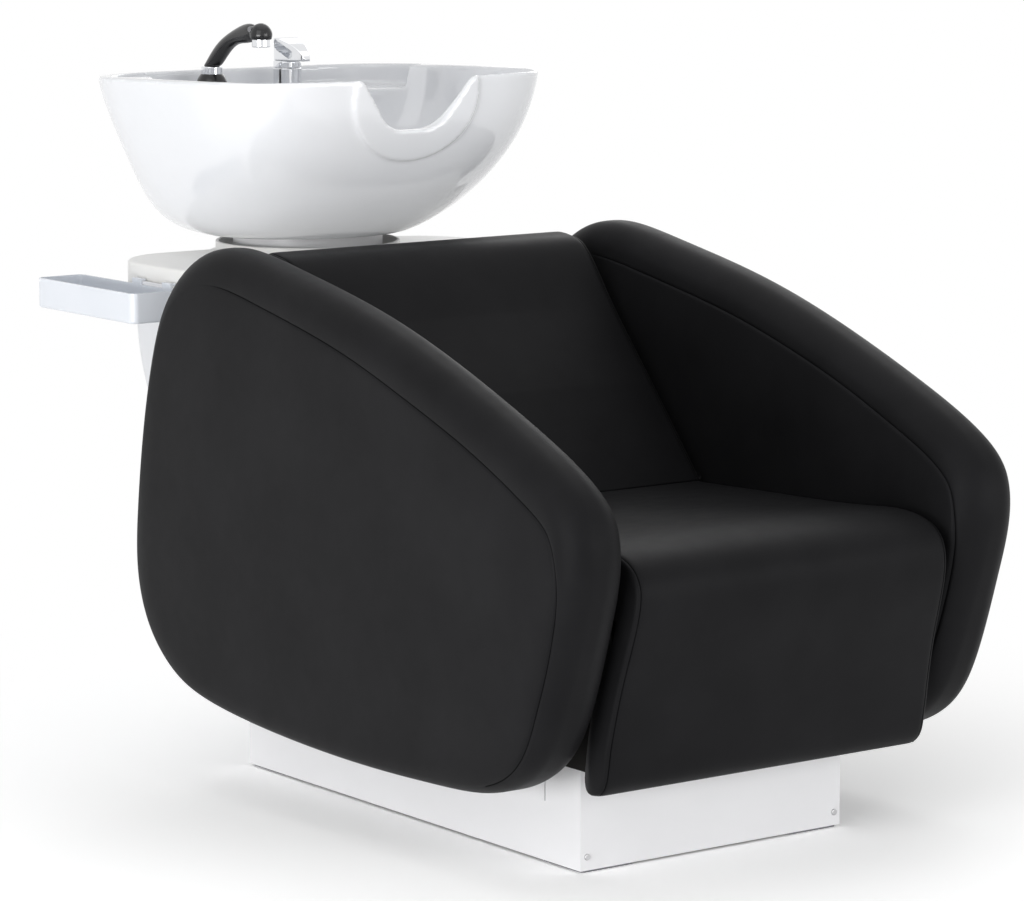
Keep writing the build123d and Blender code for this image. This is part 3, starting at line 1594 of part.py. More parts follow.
# Accessory tray that hooks over a rail on the right side of the deck
rail_rise = 24
rail_top = mast_height + rail_rise
rail_standoff = 6
rail_thickness = 3
rail_height_over_deck = 14
rail_inset = 18
rail_length = 108
rail_front = deck_wing_front + rail_inset
rail_rear = rail_front + rail_length
tray_length = 278
tray_width = 80
tray_depth = 45
tray_wall = 3
tray_round = 12
tray_lip = 4
tray_drop = 5
tray_hook_gap = 0.5
tray_hook_length = 24
tray_top = rail_top - tray_drop
tray_front = deck_wing_front
tray_inner = -deck_half_width - rail_standoff - rail_thickness - tray_hook_gap
rail_foot = rail_top - rail_height_over_deck

with BuildPart() as tray_rail:
    with BuildSketch(front_plane(rail_front)):
        with BuildLine():
            Polyline(
                (-deck_half_width, rail_foot),
                (-deck_half_width - rail_standoff - rail_thickness, rail_foot),
                (-deck_half_width - rail_standoff - rail_thickness, rail_top),
                (-deck_half_width - rail_standoff, rail_top),
                (-deck_half_width - rail_standoff, rail_foot + rail_thickness),
                (-deck_half_width, rail_foot + rail_thickness),
                close=True,
            )
        make_face()
    extrude(amount=-(rail_rear - rail_front))
export(tray_rail, "tray_rail")

with BuildPart() as tray:
    with BuildSketch(Plane.XY.offset(tray_top - tray_depth)):
        with Locations((tray_inner - tray_width / 2, tray_front + tray_length / 2)):
            RectangleRounded(tray_width, tray_length, tray_round)
    extrude(amount=tray_depth)
    fillet(tray.edges().group_by(Axis.Z)[0], tray_round / 3)
    with BuildSketch(Plane.XY.offset(tray_top)):
        with Locations((tray_inner - tray_width / 2, tray_front + tray_length / 2)):
            RectangleRounded(tray_width - 2 * tray_wall, tray_length - 2 * tray_wall, tray_round - tray_wall)
    extrude(amount=-(tray_depth - tray_wall), mode=Mode.SUBTRACT)
    hook_inside = tray_inner + rail_thickness + 2 * tray_hook_gap
    hook_outside = hook_inside + rail_thickness / 2
    for hook_front in (rail_front, rail_rear - tray_hook_length):
        with BuildSketch(front_plane(hook_front)):
            with BuildLine():
                Polyline(
                    (tray_inner - tray_wall, tray_top - tray_lip),
                    (tray_inner, tray_top - tray_lip),
                    (tray_inner, rail_top + tray_hook_gap),
                    (hook_inside, rail_top + tray_hook_gap),
                    (hook_inside, rail_top - 2 * rail_thickness),
                    (hook_outside, rail_top - 2 * rail_thickness),
                    (hook_outside, rail_top + tray_hook_gap + tray_wall),
                    (tray_inner - tray_wall, rail_top + tray_hook_gap + tray_wall),
                    close=True,
                )
            make_face()
        extrude(amount=-tray_hook_length)
export(tray, "tray")

console_screw_steps = (
    (screw_head_radius, screw_head_height),
    (screw_radius, -(console_wall + screw_reach)),
)

with BuildPart() as console_screws:
    for radius, length in console_screw_steps:
        with BuildSketch(front_plane(console_front + console_wall)):
            for height in console_screw_heights:
                with Locations((-console_screw_x, height), (console_screw_x, height)):
                    Circle(radius)
        extrude(amount=-length)
export(console_screws, "console_screws")
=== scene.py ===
import json
import math

import bmesh
import bpy
import numpy as np
from mathutils import Euler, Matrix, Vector


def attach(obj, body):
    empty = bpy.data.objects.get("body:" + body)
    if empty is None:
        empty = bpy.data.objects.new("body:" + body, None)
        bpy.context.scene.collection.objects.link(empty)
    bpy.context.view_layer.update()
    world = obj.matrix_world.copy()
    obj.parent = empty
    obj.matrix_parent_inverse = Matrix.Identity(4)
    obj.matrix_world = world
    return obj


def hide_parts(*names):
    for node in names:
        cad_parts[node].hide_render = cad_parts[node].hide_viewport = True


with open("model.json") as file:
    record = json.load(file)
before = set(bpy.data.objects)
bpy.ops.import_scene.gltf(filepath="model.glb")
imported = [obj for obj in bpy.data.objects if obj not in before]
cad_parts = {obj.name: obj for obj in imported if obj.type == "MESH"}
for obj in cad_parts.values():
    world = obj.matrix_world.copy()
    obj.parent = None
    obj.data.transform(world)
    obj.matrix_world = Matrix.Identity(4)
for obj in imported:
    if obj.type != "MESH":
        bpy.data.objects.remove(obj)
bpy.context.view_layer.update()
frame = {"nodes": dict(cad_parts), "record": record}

NODES = frame["nodes"]


# Materials

def base_material(name, color, rough, metallic=0.0, **sockets):
    """A Principled material whose constants sit on the shader itself."""
    mat = bpy.data.materials.new(name)
    mat.use_nodes = True
    shader = mat.node_tree.nodes["Principled BSDF"]
    shader.inputs["Base Color"].default_value = (*color, 1.0)
    shader.inputs["Roughness"].default_value = rough
    shader.inputs["Metallic"].default_value = metallic
    for key, value in sockets.items():
        shader.inputs[key.replace("_", " ")].default_value = value
    return mat, mat.node_tree, shader


def node(tree, kind, **values):
    made = tree.nodes.new(kind)
    for key, value in values.items():
        if key in made.inputs.keys():
            made.inputs[key].default_value = value
        else:
            setattr(made, key, value)
    return made


def place(tree):
    """Each piece's own coordinates, in metres."""
    return node(tree, "ShaderNodeTexCoord").outputs["Object"]


def vary_color(tree, shader, source, dark, light, low=0.35, high=0.65):
    ramp = node(tree, "ShaderNodeValToRGB")
    ramp.color_ramp.elements[0].position = low
    ramp.color_ramp.elements[0].color = (*dark, 1)
    ramp.color_ramp.elements[1].position = high
    ramp.color_ramp.elements[1].color = (*light, 1)
    tree.links.new(source, ramp.inputs["Fac"])
    tree.links.new(ramp.outputs["Color"], shader.inputs["Base Color"])


def vary_rough(tree, shader, source, low, high):
    span = node(tree, "ShaderNodeMapRange")
    span.inputs["To Min"].default_value = low
    span.inputs["To Max"].default_value = high
    tree.links.new(source, span.inputs["Value"])
    tree.links.new(span.outputs["Result"], shader.inputs["Roughness"])


def bump(tree, shader, heights, distance, strength=1.0):
    """Adds up weighted heights and feeds them to the shader's normal."""
    total = None
    for source, weight in heights:
        scaled = node(tree, "ShaderNodeMath", operation="MULTIPLY")
        tree.links.new(source, scaled.inputs[0])
        scaled.inputs[1].default_value = weight
        if total is None:
            total = scaled.outputs[0]
        else:
            joined = node(tree, "ShaderNodeMath", operation="ADD")
            tree.links.new(total, joined.inputs[0])
            tree.links.new(scaled.outputs[0], joined.inputs[1])
            total = joined.outputs[0]
    made = node(tree, "ShaderNodeBump", Strength=strength, Distance=distance)
    tree.links.new(total, made.inputs["Height"])
    tree.links.new(made.outputs["Normal"], shader.inputs["Normal"])


def noise(tree, vector, scale, detail=3.0, rough=0.55):
    made = node(tree, "ShaderNodeTexNoise", Scale=scale, Detail=detail, Roughness=rough)
    tree.links.new(vector, made.inputs["Vector"])
    return made.outputs["Fac"]


def cells(tree, vector, scale):
    made = node(tree, "ShaderNodeTexVoronoi", Scale=scale)
    made.feature = "DISTANCE_TO_EDGE"
    tree.links.new(vector, made.inputs["Vector"])
    return made.outputs["Distance"]


LEATHER_TINT = (0.55, 0.55, 0.57, 1)


def leather(name, dark, light, rough, shine=0.10):
    """Leatherette with pores, fine grain and a slow swell."""
    gloss = {"Specular_IOR_Level": shine, "Specular_Tint": LEATHER_TINT}
    mat, tree, shader = base_material(name, light, rough, **gloss)
    at = place(tree)
    broad = noise(tree, at, scale=7.0, detail=4.0)
    pores = cells(tree, at, scale=620.0)
    fine = noise(tree, at, scale=1500.0, detail=2.0)
    vary_color(tree, shader, broad, dark, light)
    vary_rough(tree, shader, noise(tree, at, scale=38.0, detail=5.0), rough - 0.05, rough + 0.07)
    swell = noise(tree, at, scale=22.0, detail=3.0)
    bump(tree, shader, ((pores, 0.7), (fine, 0.3), (swell, 1.6)), distance=0.0003, strength=0.5)
    return mat


def glazed(name, color, shade):
    """White ceramic under a clear glaze."""
    mat, tree, shader = base_material(name, color, 0.12, Coat_Weight=0.6, Coat_Roughness=0.05, IOR=1.52)
    at = place(tree)
    vary_color(tree, shader, noise(tree, at, scale=3.5, detail=3.0), shade, color, 0.3, 0.7)
    vary_rough(tree, shader, noise(tree, at, scale=60.0, detail=4.0), 0.10, 0.16)
    waves = noise(tree, at, scale=9.0, detail=2.0)
    peel = noise(tree, at, scale=420.0, detail=2.0)
    bump(tree, shader, ((waves, 1.0), (peel, 0.04)), distance=0.0006, strength=0.25)
    return mat


def moulded(name, color, shade, rough):
    """Plastic or rubber with a fine moulded grain."""
    mat, tree, shader = base_material(name, color, rough)
    at = place(tree)
    vary_color(tree, shader, noise(tree, at, scale=6.0, detail=3.0), shade, color, 0.3, 0.7)
    vary_rough(tree, shader, noise(tree, at, scale=45.0, detail=4.0), rough - 0.04, rough + 0.05)
    grain = noise(tree, at, scale=900.0, detail=3.0)
    bump(tree, shader, ((grain, 1.0),), distance=0.00006, strength=0.6)
    return mat


def painted(name, color, shade, rough):
    """Powder coat on steel."""
    mat, tree, shader = base_material(name, color, rough, Coat_Weight=0.15, Coat_Roughness=0.2)
    at = place(tree)
    vary_color(tree, shader, noise(tree, at, scale=5.0, detail=3.0), shade, color, 0.3, 0.7)
    vary_rough(tree, shader, noise(tree, at, scale=70.0, detail=4.0), rough - 0.05, rough + 0.06)
    grain = noise(tree, at, scale=700.0, detail=2.0)
    bump(tree, shader, ((grain, 1.0),), distance=0.00008, strength=0.5)
    return mat


def metal(name, color, rough, brushed=0.0):
    """Bare or plated metal, polished unless brushed gives its lines a depth."""
    mat, tree, shader = base_material(name, color, rough, 1.0)
    at = place(tree)
    if brushed:
        stretch = node(tree, "ShaderNodeMapping")
        stretch.inputs["Scale"].default_value = (1.0, 1.0, 60.0)
        tree.links.new(at, stretch.inputs["Vector"])
        lines = noise(tree, stretch.outputs["Vector"], scale=60.0, detail=3.0)
        vary_rough(tree, shader, lines, rough - 0.06, rough + 0.10)
        bump(tree, shader, ((lines, 1.0),), distance=0.00005, strength=brushed)
    else:
        vary_rough(tree, shader, noise(tree, at, scale=140.0, detail=3.0), rough * 0.6, rough * 1.6)
        bump(tree, shader, ((noise(tree, at, scale=30.0, detail=2.0), 1.0),), distance=0.00004, strength=0.3)
    dull = [0.94 * c for c in color]
    vary_color(tree, shader, noise(tree, at, scale=18.0, detail=2.0), dull, color)
    return mat


def plywood(name):
    """Boards stained black, with their grain still to be seen."""
    mat, tree, shader = base_material(name, (0.01, 0.0095, 0.009), 0.6, Specular_IOR_Level=0.12)
    at = place(tree)
    grain = node(tree, "ShaderNodeTexWave", Scale=9.0, Distortion=6.0, Detail=4.0)
    tree.links.new(at, grain.inputs["Vector"])
    lines = grain.outputs["Fac"]
    vary_color(tree, shader, lines, (0.0045, 0.0043, 0.0040), (0.012, 0.011, 0.010), 0.1, 0.9)
    fibres = noise(tree, at, scale=300.0, detail=3.0)
    bump(tree, shader, ((lines, 1.0), (fibres, 0.5)), distance=0.0002, strength=0.4)
    return mat


# Finishes

LEATHER = leather("leatherette", (0.0078, 0.0078, 0.0084), (0.0105, 0.0105, 0.0113), 0.50)
# The seam thread is darker than the leather: painted shade for the seam's groove, on top of the thread's own
# colour.
SEAM_THREAD_SHADE = leather("seam_shadow", (0.0015, 0.0015, 0.0017), (0.003, 0.003, 0.0033), 0.7, 0.04)
CERAMIC = glazed("ceramic_glaze", (0.86, 0.87, 0.895), (0.835, 0.85, 0.88))
DECK = moulded("deck_plastic", (0.84, 0.835, 0.815), (0.81, 0.805, 0.785), 0.30)
CONSOLE = moulded("console_plastic", (0.80, 0.81, 0.83), (0.77, 0.78, 0.80), 0.36)
TRAY = moulded("tray_plastic", (0.76, 0.79, 0.84), (0.73, 0.76, 0.81), 0.25)
WHITE_PLASTIC = moulded("white_plastic", (0.78, 0.78, 0.77), (0.74, 0.74, 0.73), 0.4)
BLACK_PLASTIC = moulded("black_plastic", (0.008, 0.008, 0.009), (0.006, 0.006, 0.007), 0.2)
GREY_PLASTIC = moulded("grey_plastic", (0.20, 0.20, 0.21), (0.17, 0.17, 0.18), 0.4)
WHITE_STEEL = painted("white_steel", (0.87, 0.87, 0.885), (0.84, 0.84, 0.855), 0.38)
GREY_STEEL = painted("grey_steel", (0.16, 0.16, 0.175), (0.13, 0.13, 0.14), 0.45)
CHROME = metal("chrome", (0.80, 0.81, 0.83), 0.07)
STAINLESS = metal("stainless", (0.60, 0.60, 0.61), 0.3, 0.5)
PLYWOOD = plywood("plywood")
HOSE = moulded("hose_rubber", (0.22, 0.22, 0.23), (0.17, 0.17, 0.18), 0.5)

FINISHES = {
    "leatherette": LEATHER,
    "ceramic": CERAMIC,
    "deck_plastic": DECK,
    "console_plastic": CONSOLE,
    "tray_plastic": TRAY,
    "white_plastic": WHITE_PLASTIC,
    "black_plastic": BLACK_PLASTIC,
    "grey_plastic": GREY_PLASTIC,
    "white_steel": WHITE_STEEL,
    "grey_steel": GREY_STEEL,
    "chrome": CHROME,
    "stainless": STAINLESS,
    "plywood": PLYWOOD,
    "hose_rubber": HOSE,
}
for part in frame["record"]["subparts"]:
    carried = NODES[part["node"]]
    for slot in carried.material_slots:
        slot.material = FINISHES[part["material_slot"]]


# Shapes shared by the padded pieces

STEPS_PER_SPAN = 40
MERGE = 0.0002


def through(points, count, closed=True):
    """count points, evenly spaced along a smooth curve through points."""
    knots = np.array(points, float)
    number = len(knots)
    ahead = np.roll(knots, -1, 0) - knots
    chords = np.linalg.norm(ahead, axis=1) ** 0.5
    system = np.eye(number)
    right = np.zeros((number, knots.shape[1]))
    for i in range(number) if closed else range(1, number - 1):
        before, after = chords[i - 1], chords[i]
        system[i, i - 1] = before
        system[i, i] = 2 * (before + after)
        system[i, (i + 1) % number] = after
        right[i] = 6 * (ahead[i] / after - ahead[i - 1] / before)
    bend = np.linalg.solve(system, right)
    spans = number if closed else number - 1
    fine = []
    for i in range(spans):
        j = (i + 1) % number
        width = chords[i]
        for t in np.linspace(0, 1, STEPS_PER_SPAN, endpoint=False):
            s = t * width
            rest = width - s
            fine.append(
                bend[i] * rest ** 3 / (6 * width)
                + bend[j] * s ** 3 / (6 * width)
                + (knots[i] / width - bend[i] * width / 6) * rest
                + (knots[j] / width - bend[j] * width / 6) * s
            )
    if not closed:
        fine.append(knots[-1])
    return even(np.array(fine), count, closed)


def even(line, count, closed):
    """count points, evenly spaced along a polyline."""
    if closed:
        line = np.vstack([line, line[:1]])
    steps = np.linalg.norm(np.diff(line, axis=0), axis=1)
    run = np.concatenate([[0], np.cumsum(steps)])
    wanted = np.linspace(0, run[-1], count, endpoint=not closed)
    return np.stack([np.interp(wanted, run, line[:, k]) for k in range(line.shape[1])], axis=1)


def inward(outline):
    """Unit normals of a closed 2-D outline, pointing into it."""
    step = np.roll(outline, -1, 0) - np.roll(outline, 1, 0)
    normal = np.stack([-step[:, 1], step[:, 0]], axis=1)
    normal /= np.linalg.norm(normal, axis=1)[:, None]
    shifted = np.roll(outline, -1, 0)
    area = 0.5 * np.sum(outline[:, 0] * shifted[:, 1] - shifted[:, 0] * outline[:, 1])
    return normal if area > 0 else -normal


def onto(points, spine):
    """The nearest point of a polyline to each point."""
    best = np.full(len(points), 1e9)
    result = np.zeros_like(points)
    for a, b in zip(spine[:-1], spine[1:]):
        run = b - a
        t = np.clip(((points - a) @ run) / (run @ run), 0, 1)
        spot = a + t[:, None] * run
        gap = np.linalg.norm(points - spot, axis=1)
        nearer = gap < best
        best[nearer] = gap[nearer]
        result[nearer] = spot[nearer]
    return result


def mesh_from(name, verts, faces, material):
    """A smooth mesh object, with points that fall together joined."""
    made = bpy.data.meshes.new(name)
    made.from_pydata([tuple(v) for v in verts], [], faces)
    made.update()
    work = bmesh.new()
    work.from_mesh(made)
    bmesh.ops.remove_doubles(work, verts=work.verts, dist=MERGE)
    bmesh.ops.dissolve_degenerate(work, edges=work.edges, dist=MERGE / 2)
    wide = [face for face in work.faces if len(face.verts) > 4]
    bmesh.ops.triangulate(work, faces=wide, quad_method="BEAUTY", ngon_method="BEAUTY")
    bmesh.ops.recalc_face_normals(work, faces=work.faces)
    work.to_mesh(made)
    work.free()
    for polygon in made.polygons:
        polygon.use_smooth = True
    made.materials.append(material)
    obj = bpy.data.objects.new(name, made)
    bpy.context.scene.collection.objects.link(obj)
    return obj


def ring_faces(rings, count):
    """Quads between rings of count points each, one ring after the other."""
    faces = []
    for r in range(rings - 1):
        for i in range(count):
            j = (i + 1) % count
            a = r * count
            b = a + count
            faces.append((a + i, a + j, b + j, b + i))
    return faces


def refine(obj):
    """One level of subdivision."""
    soft = obj.modifiers.new("soft", "SUBSURF")
    soft.levels = 1
    soft.render_levels = 1


def thread(name, points, radius):
    """A thin line of thread along points, darkened with painted shade for the seam's groove."""
    curve = bpy.data.curves.new(name, "CURVE")
    curve.dimensions = "3D"
    curve.bevel_depth = radius
    curve.bevel_resolution = 2
    spline = curve.splines.new("POLY")
    spline.points.add(len(points) - 1)
    for spot, point in zip(spline.points, points):
        spot.co = (*point, 1)
    curve.materials.append(SEAM_THREAD_SHADE)
    obj = bpy.data.objects.new(name, curve)
    bpy.context.scene.collection.objects.link(obj)
    return obj


def rolled(depth, radius):
    """How far the surface falls back from the face at a distance inside the edge."""
    d = np.clip(depth, 0, radius)
    return radius - np.sqrt(np.maximum(radius ** 2 - (radius - d) ** 2, 0))


def add_upholstery(node_name, pad, lines, fill):
    """Sets a padded piece and its seams in place of the CAD solid."""
    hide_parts(node_name)
    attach(pad, "base")
    for line in lines:
        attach(line, "base")


# Arm pads: two faces and a rounded border, joined along a seam inside the top and front edges

# The outline's points are shares of its length, from the front, and of its height, from the bottom
ARM_FRONT, ARM_LENGTH, ARM_BOTTOM, ARM_HEIGHT = -0.602, 1.084, 0.102, 0.703
ARM_SHARES = (
    (0.000, 0.500), (0.010, 0.600), (0.062, 0.672), (0.169, 0.749), (0.327, 0.841), (0.492, 0.916),
    (0.666, 0.970), (0.796, 0.993), (0.868, 0.955), (0.920, 0.876), (0.952, 0.772), (0.980, 0.607),
    (0.998, 0.426), (1.000, 0.285), (0.970, 0.168), (0.912, 0.088), (0.822, 0.043), (0.525, 0.012),
    (0.305, 0.018), (0.190, 0.036), (0.103, 0.100), (0.055, 0.218), (0.020, 0.377),
)
ARM_COUNT = 300
ARM_INNER, ARM_OUTER = 0.292, 0.395
ARM_CENTRE = np.array((-0.08, 0.43))
# Around the outline, as a share of it from the foremost point over the top: how far inside the seam
# runs, how deep it draws in, and the radius at which the face rolls into the border
SEAM_OUTER = (
    (0.000, 0.041), (0.017, 0.051), (0.060, 0.057), (0.103, 0.055), (0.163, 0.058), (0.250, 0.055),
    (0.313, 0.053), (0.347, 0.050), (0.375, 0.040), (0.410, 0.020), (0.520, 0.010), (0.840, 0.010),
    (0.873, 0.012), (0.900, 0.019), (0.927, 0.024), (0.950, 0.023), (0.977, 0.026), (0.993, 0.034),
    (1.000, 0.041),
)
SEAM_INNER = (
    (0.000, 0.030), (0.030, 0.043), (0.080, 0.048), (0.130, 0.047), (0.180, 0.050), (0.240, 0.052),
    (0.313, 0.052), (0.347, 0.048), (0.375, 0.040), (0.410, 0.020), (0.520, 0.010), (0.840, 0.010),
    (0.873, 0.012), (0.900, 0.018), (0.927, 0.020), (0.950, 0.019), (0.977, 0.020), (0.993, 0.025),
    (1.000, 0.030),
)
SEAM_DRAW = ((0.0, 1.0), (0.31, 1.0), (0.350, 0.0), (0.855, 0.0), (0.885, 1.0), (1.0, 1.0))
ROLL = (
    (0.000, 0.041), (0.300, 0.044), (0.350, 0.040), (0.400, 0.032), (0.600, 0.030), (0.800, 0.032),
    (0.860, 0.034), (0.930, 0.038), (1.000, 0.041),
)
# The seam lies in a narrow groove: how far to either side, and how deep
SEAM_DEPTH = 0.0027
SEAM_LIP = 0.0055
GROOVE = (
    (-SEAM_LIP, 0.0), (-0.0026, 0.0004), (-0.0011, 0.0015), (0.0, SEAM_DEPTH),
    (0.0011, 0.0015), (0.0026, 0.0004), (SEAM_LIP, 0.0),
)
# Rings of points lie at these shares of the way from the edge to the groove, and on to the middle
BORDER_SHARES = (0.0, 0.012, 0.04, 0.09, 0.17, 0.28, 0.42, 0.58, 0.76)
FACE_SHARES = (0.04, 0.09, 0.15, 0.22, 0.30, 0.39, 0.49, 0.59, 0.69, 0.79, 0.88)
GROOVE_MARGIN = 0.0065
# The faces stand proud by the puff, from its reach inside the seam onwards
PUFF = 0.0045
PUFF_REACH = 0.10
PUFF_BULGE = 0.8
UNSEWN_REACH = 0.16
# Beside the seat the inner face fills out, ahead of a setback and below a height
NOSE_FILL = 0.012
NOSE_SETBACK, NOSE_RUN = -0.22, 0.25
NOSE_HEIGHT, NOSE_DROP = 0.60, 0.20
NOSE_EDGE = 0.03
ARM_THREAD = 0.0008
THREAD_SINK = 0.0002
# Thread shows where the seam draws in by more than this share
SEWN = 0.25


def smoothed(values, times):
    """Values round a closed outline, each averaged with its neighbours a number of times."""
    for _ in range(times):
        values = (np.roll(values, 1) + 2 * values + np.roll(values, -1)) / 4
    return values


def around_arm(table, times):
    """A table's values at each point of the arm's outline, with its corners eased."""
    return smoothed(np.interp(np.arange(ARM_COUNT) / ARM_COUNT, *zip(*table)), times)


def nose_fill(flat, inside):
    """How far the inner face swells towards the seat, near the arm's front end."""
    ahead = np.clip((NOSE_SETBACK - flat[:, 0]) / NOSE_RUN, 0, 1)
    low = np.clip((NOSE_HEIGHT - flat[:, 1]) / NOSE_DROP, 0, 1)
    return NOSE_FILL * ahead * low * np.clip(inside / NOSE_EDGE, 0, 1)


def arm_pad(name, side):
    knots = [(ARM_FRONT + ARM_LENGTH * along, ARM_BOTTOM + ARM_HEIGHT * up) for along, up in ARM_SHARES]
    outline = through(knots, ARM_COUNT)
    normal = inward(outline)
    draw = around_arm(SEAM_DRAW, 6)
    roll = around_arm(ROLL, 20)

    def face(x_face, out, seam):
        """Rings from the middle of the border to near the face's middle, on the face at x_face."""
        sets = [(part * (seam - GROOVE_MARGIN), 0.0, None) for part in BORDER_SHARES]
        sets += [(seam + shift, drop, None) for shift, drop in GROOVE]
        sets += [(seam + SEAM_LIP, 0.0, part) for part in FACE_SHARES]
        rings = []
        for depth, drop, blend in sets:
            flat = outline + normal * depth[:, None]
            inside = depth.copy()
            if blend is not None:
                reach = np.linalg.norm(ARM_CENTRE - flat, axis=1)
                flat = flat + (ARM_CENTRE - flat) * blend
                inside = depth + reach * blend
            puff = PUFF * np.clip((inside - seam) / PUFF_REACH, 0, 1) ** PUFF_BULGE
            puff = np.where(inside > seam, puff, 0) * draw
            unsewn = PUFF * (1 - draw) * np.clip(inside / UNSEWN_REACH, 0, 1)
            x = x_face - out * (rolled(inside, roll) + drop * draw - puff - unsewn)
            if out < 0:
                x = x - nose_fill(flat, inside)
            rings.append([(side * across, p[0], p[1]) for across, p in zip(x, flat)])
        return rings

    sides = (
        ("outer", ARM_OUTER - PUFF, 1, around_arm(SEAM_OUTER, 12)),
        ("inner", ARM_INNER + PUFF, -1, around_arm(SEAM_INNER, 12)),
    )
    outer, inner = (face(x_face, out, seam) for _, x_face, out, seam in sides)
    rings = list(reversed(inner)) + outer
    verts = [v for ring in rings for v in ring]
    faces = ring_faces(len(rings), ARM_COUNT)
    for first, x_face in ((0, ARM_INNER), ((len(rings) - 1) * ARM_COUNT, ARM_OUTER)):
        middle = len(verts)
        verts.append((side * x_face, *ARM_CENTRE))
        faces += [(first + i, first + (i + 1) % ARM_COUNT, middle) for i in range(ARM_COUNT)]
    obj = mesh_from(name, verts, faces, LEATHER)
    refine(obj)
    sewn = np.nonzero(draw > SEWN)[0]
    order = np.concatenate([sewn[sewn > ARM_COUNT // 2], sewn[sewn <= ARM_COUNT // 2]])
    lines = []
    for word, x_face, out, seam in sides:
        flat = (outline + normal * seam[:, None])[order]
        back = (rolled(seam, roll) + SEAM_DEPTH * draw)[order] - THREAD_SINK
        x = x_face - out * back
        if out < 0:
            x = x - nose_fill(flat, seam[order])
        points = [(side * across, p[0], p[1]) for across, p in zip(x, flat)]
        lines.append(thread(f"{name}_seam_{word}", points, ARM_THREAD))
    return obj, lines


for arm, side in (("arm_pad_left", 1), ("arm_pad_right", -1)):
    add_upholstery(arm, *arm_pad(f"{arm}_upholstery", side), fill=0.95)


# Seat and back pads: a side outline carried across the width, rolled at both side edges

PAD_HALF = 0.270
TOP_COUNT, REST_COUNT = 150, 60
# Sections lie at these distances inside the side edge, and close together about the seam
EDGE_OFFSETS = (0.0, 0.0004, 0.0015, 0.0035, 0.0065, 0.010)
FAR_OFFSETS = (0.026, 0.045, 0.075, 0.11, 0.15, 0.20)
SEAM_STEPS = (-0.0035, -0.0012, 0, 0.0012, 0.0035)
SEAM_DIPS = {-0.0012: 0.0009, 0: 0.0018, 0.0012: 0.0009}
# The side faces close towards the spine in these shares, and bulge a little
CAP_SHARES = (0.12, 0.3, 0.5, 0.7, 0.88, 1.0)
CAP_PUFF = 0.003
REST_SOFTNESS = 0.35
PAD_THREAD = 0.0006
PAD_THREAD_SINK = 0.0015
# The seat's apron widens from a height down to its foot, ahead of a setback
FLARE_HEIGHT, FLARE_DROP = 0.42, 0.22
FLARE_SETBACK, FLARE_RUN = -0.46, 0.04


def flared(point, flare):
    x, y, z = point
    share = min(max((FLARE_HEIGHT - z) / FLARE_DROP, 0), 1) * min(max((FLARE_SETBACK - y) / FLARE_RUN, 0), 1)
    return (x * (1 + flare * share), y, z)


def side_pad(name, upper, lower, spine, roll, crown, crown_mask, seam_at, flare=0.0):
    """upper is the smooth, crowned part of the side outline and lower the flat part that rests."""
    top = through(upper, TOP_COUNT, closed=False)
    rest = even(np.array(lower, float), REST_COUNT, False)
    outline = np.vstack([top, rest[1:-1]])
    total = len(outline)
    normal = inward(outline)
    on_top = np.arange(total) < TOP_COUNT
    weight = np.zeros(total)
    weight[:TOP_COUNT] = np.interp(np.linspace(0, 1, TOP_COUNT), *zip(*crown_mask))
    soft = np.where(on_top, 1.0, REST_SOFTNESS)
    core = onto(outline, np.array(spine))

    def shifts(x, drop):
        """How far a section at x stands off the outline at each of its points."""
        lift = crown * (1 - (x / PAD_HALF) ** 2)
        return -rolled(PAD_HALF - abs(x), roll) * soft + lift * weight - drop

    near = [seam_at + step for step in SEAM_STEPS]
    dips = {seam_at + step: dip for step, dip in SEAM_DIPS.items()}
    offsets = sorted(set([edge for edge in EDGE_OFFSETS if edge < near[0]] + near + list(FAR_OFFSETS)))
    side_drops = [dips.get(offset, 0.0) for offset in offsets]
    stations = [-PAD_HALF + o for o in offsets] + [0.0] + [PAD_HALF - o for o in reversed(offsets)]
    drops = side_drops + [0.0] + side_drops[::-1]
    rows = []
    for x, drop in zip(stations, drops):
        flat = outline - normal * shifts(x, drop * on_top)[:, None]
        rows.append([(x, p[0], p[1]) for p in flat])
    ends = []
    for row, sign in ((rows[0], -1), (rows[-1], 1)):
        flat = np.array(row)[:, 1:]
        caps = []
        for t in CAP_SHARES:
            spot = flat + (core - flat) * t
            puff = CAP_PUFF * math.sin(t * math.pi / 2)
            caps.append([(sign * (PAD_HALF + puff), p[0], p[1]) for p in spot])
        ends.append(caps)
    rings = list(reversed(ends[0])) + rows + ends[1]
    verts = [flared(v, flare) for ring in rings for v in ring]
    obj = mesh_from(name, verts, ring_faces(len(rings), total), LEATHER)
    refine(obj)
    lines = []
    for word, sign in (("right", -1), ("left", 1)):
        x = PAD_HALF - seam_at
        flat = (outline - normal * shifts(x, PAD_THREAD_SINK)[:, None])[:TOP_COUNT]
        points = [flared((sign * x, p[0], p[1]), flare) for p in flat]
        lines.append(thread(f"{name}_seam_{word}", points, PAD_THREAD))
    return obj, lines


# The pads' outlines run in depth and height, and follow the backrest's plane
LEAN = math.atan(0.87)
SEAT_REAR, SEAT_REAR_HEIGHT = -0.050, 0.445
PAD_THICKNESS = 0.085
SEAT_UNDERSIDE = 0.3703
SEAT_TOP = 0.4447
BACK_TOP = 0.785
BACK_ROUND = 0.034
BACK_HEEL = 0.010


def back_face(height, depth=0.0):
    """Where the backrest's plane, depth behind its face, stands at a height."""
    return SEAT_REAR + (height - SEAT_REAR_HEIGHT) * math.tan(LEAN) + depth / math.cos(LEAN)


def on_back(height, depth=0.0):
    return (back_face(height, depth), height)


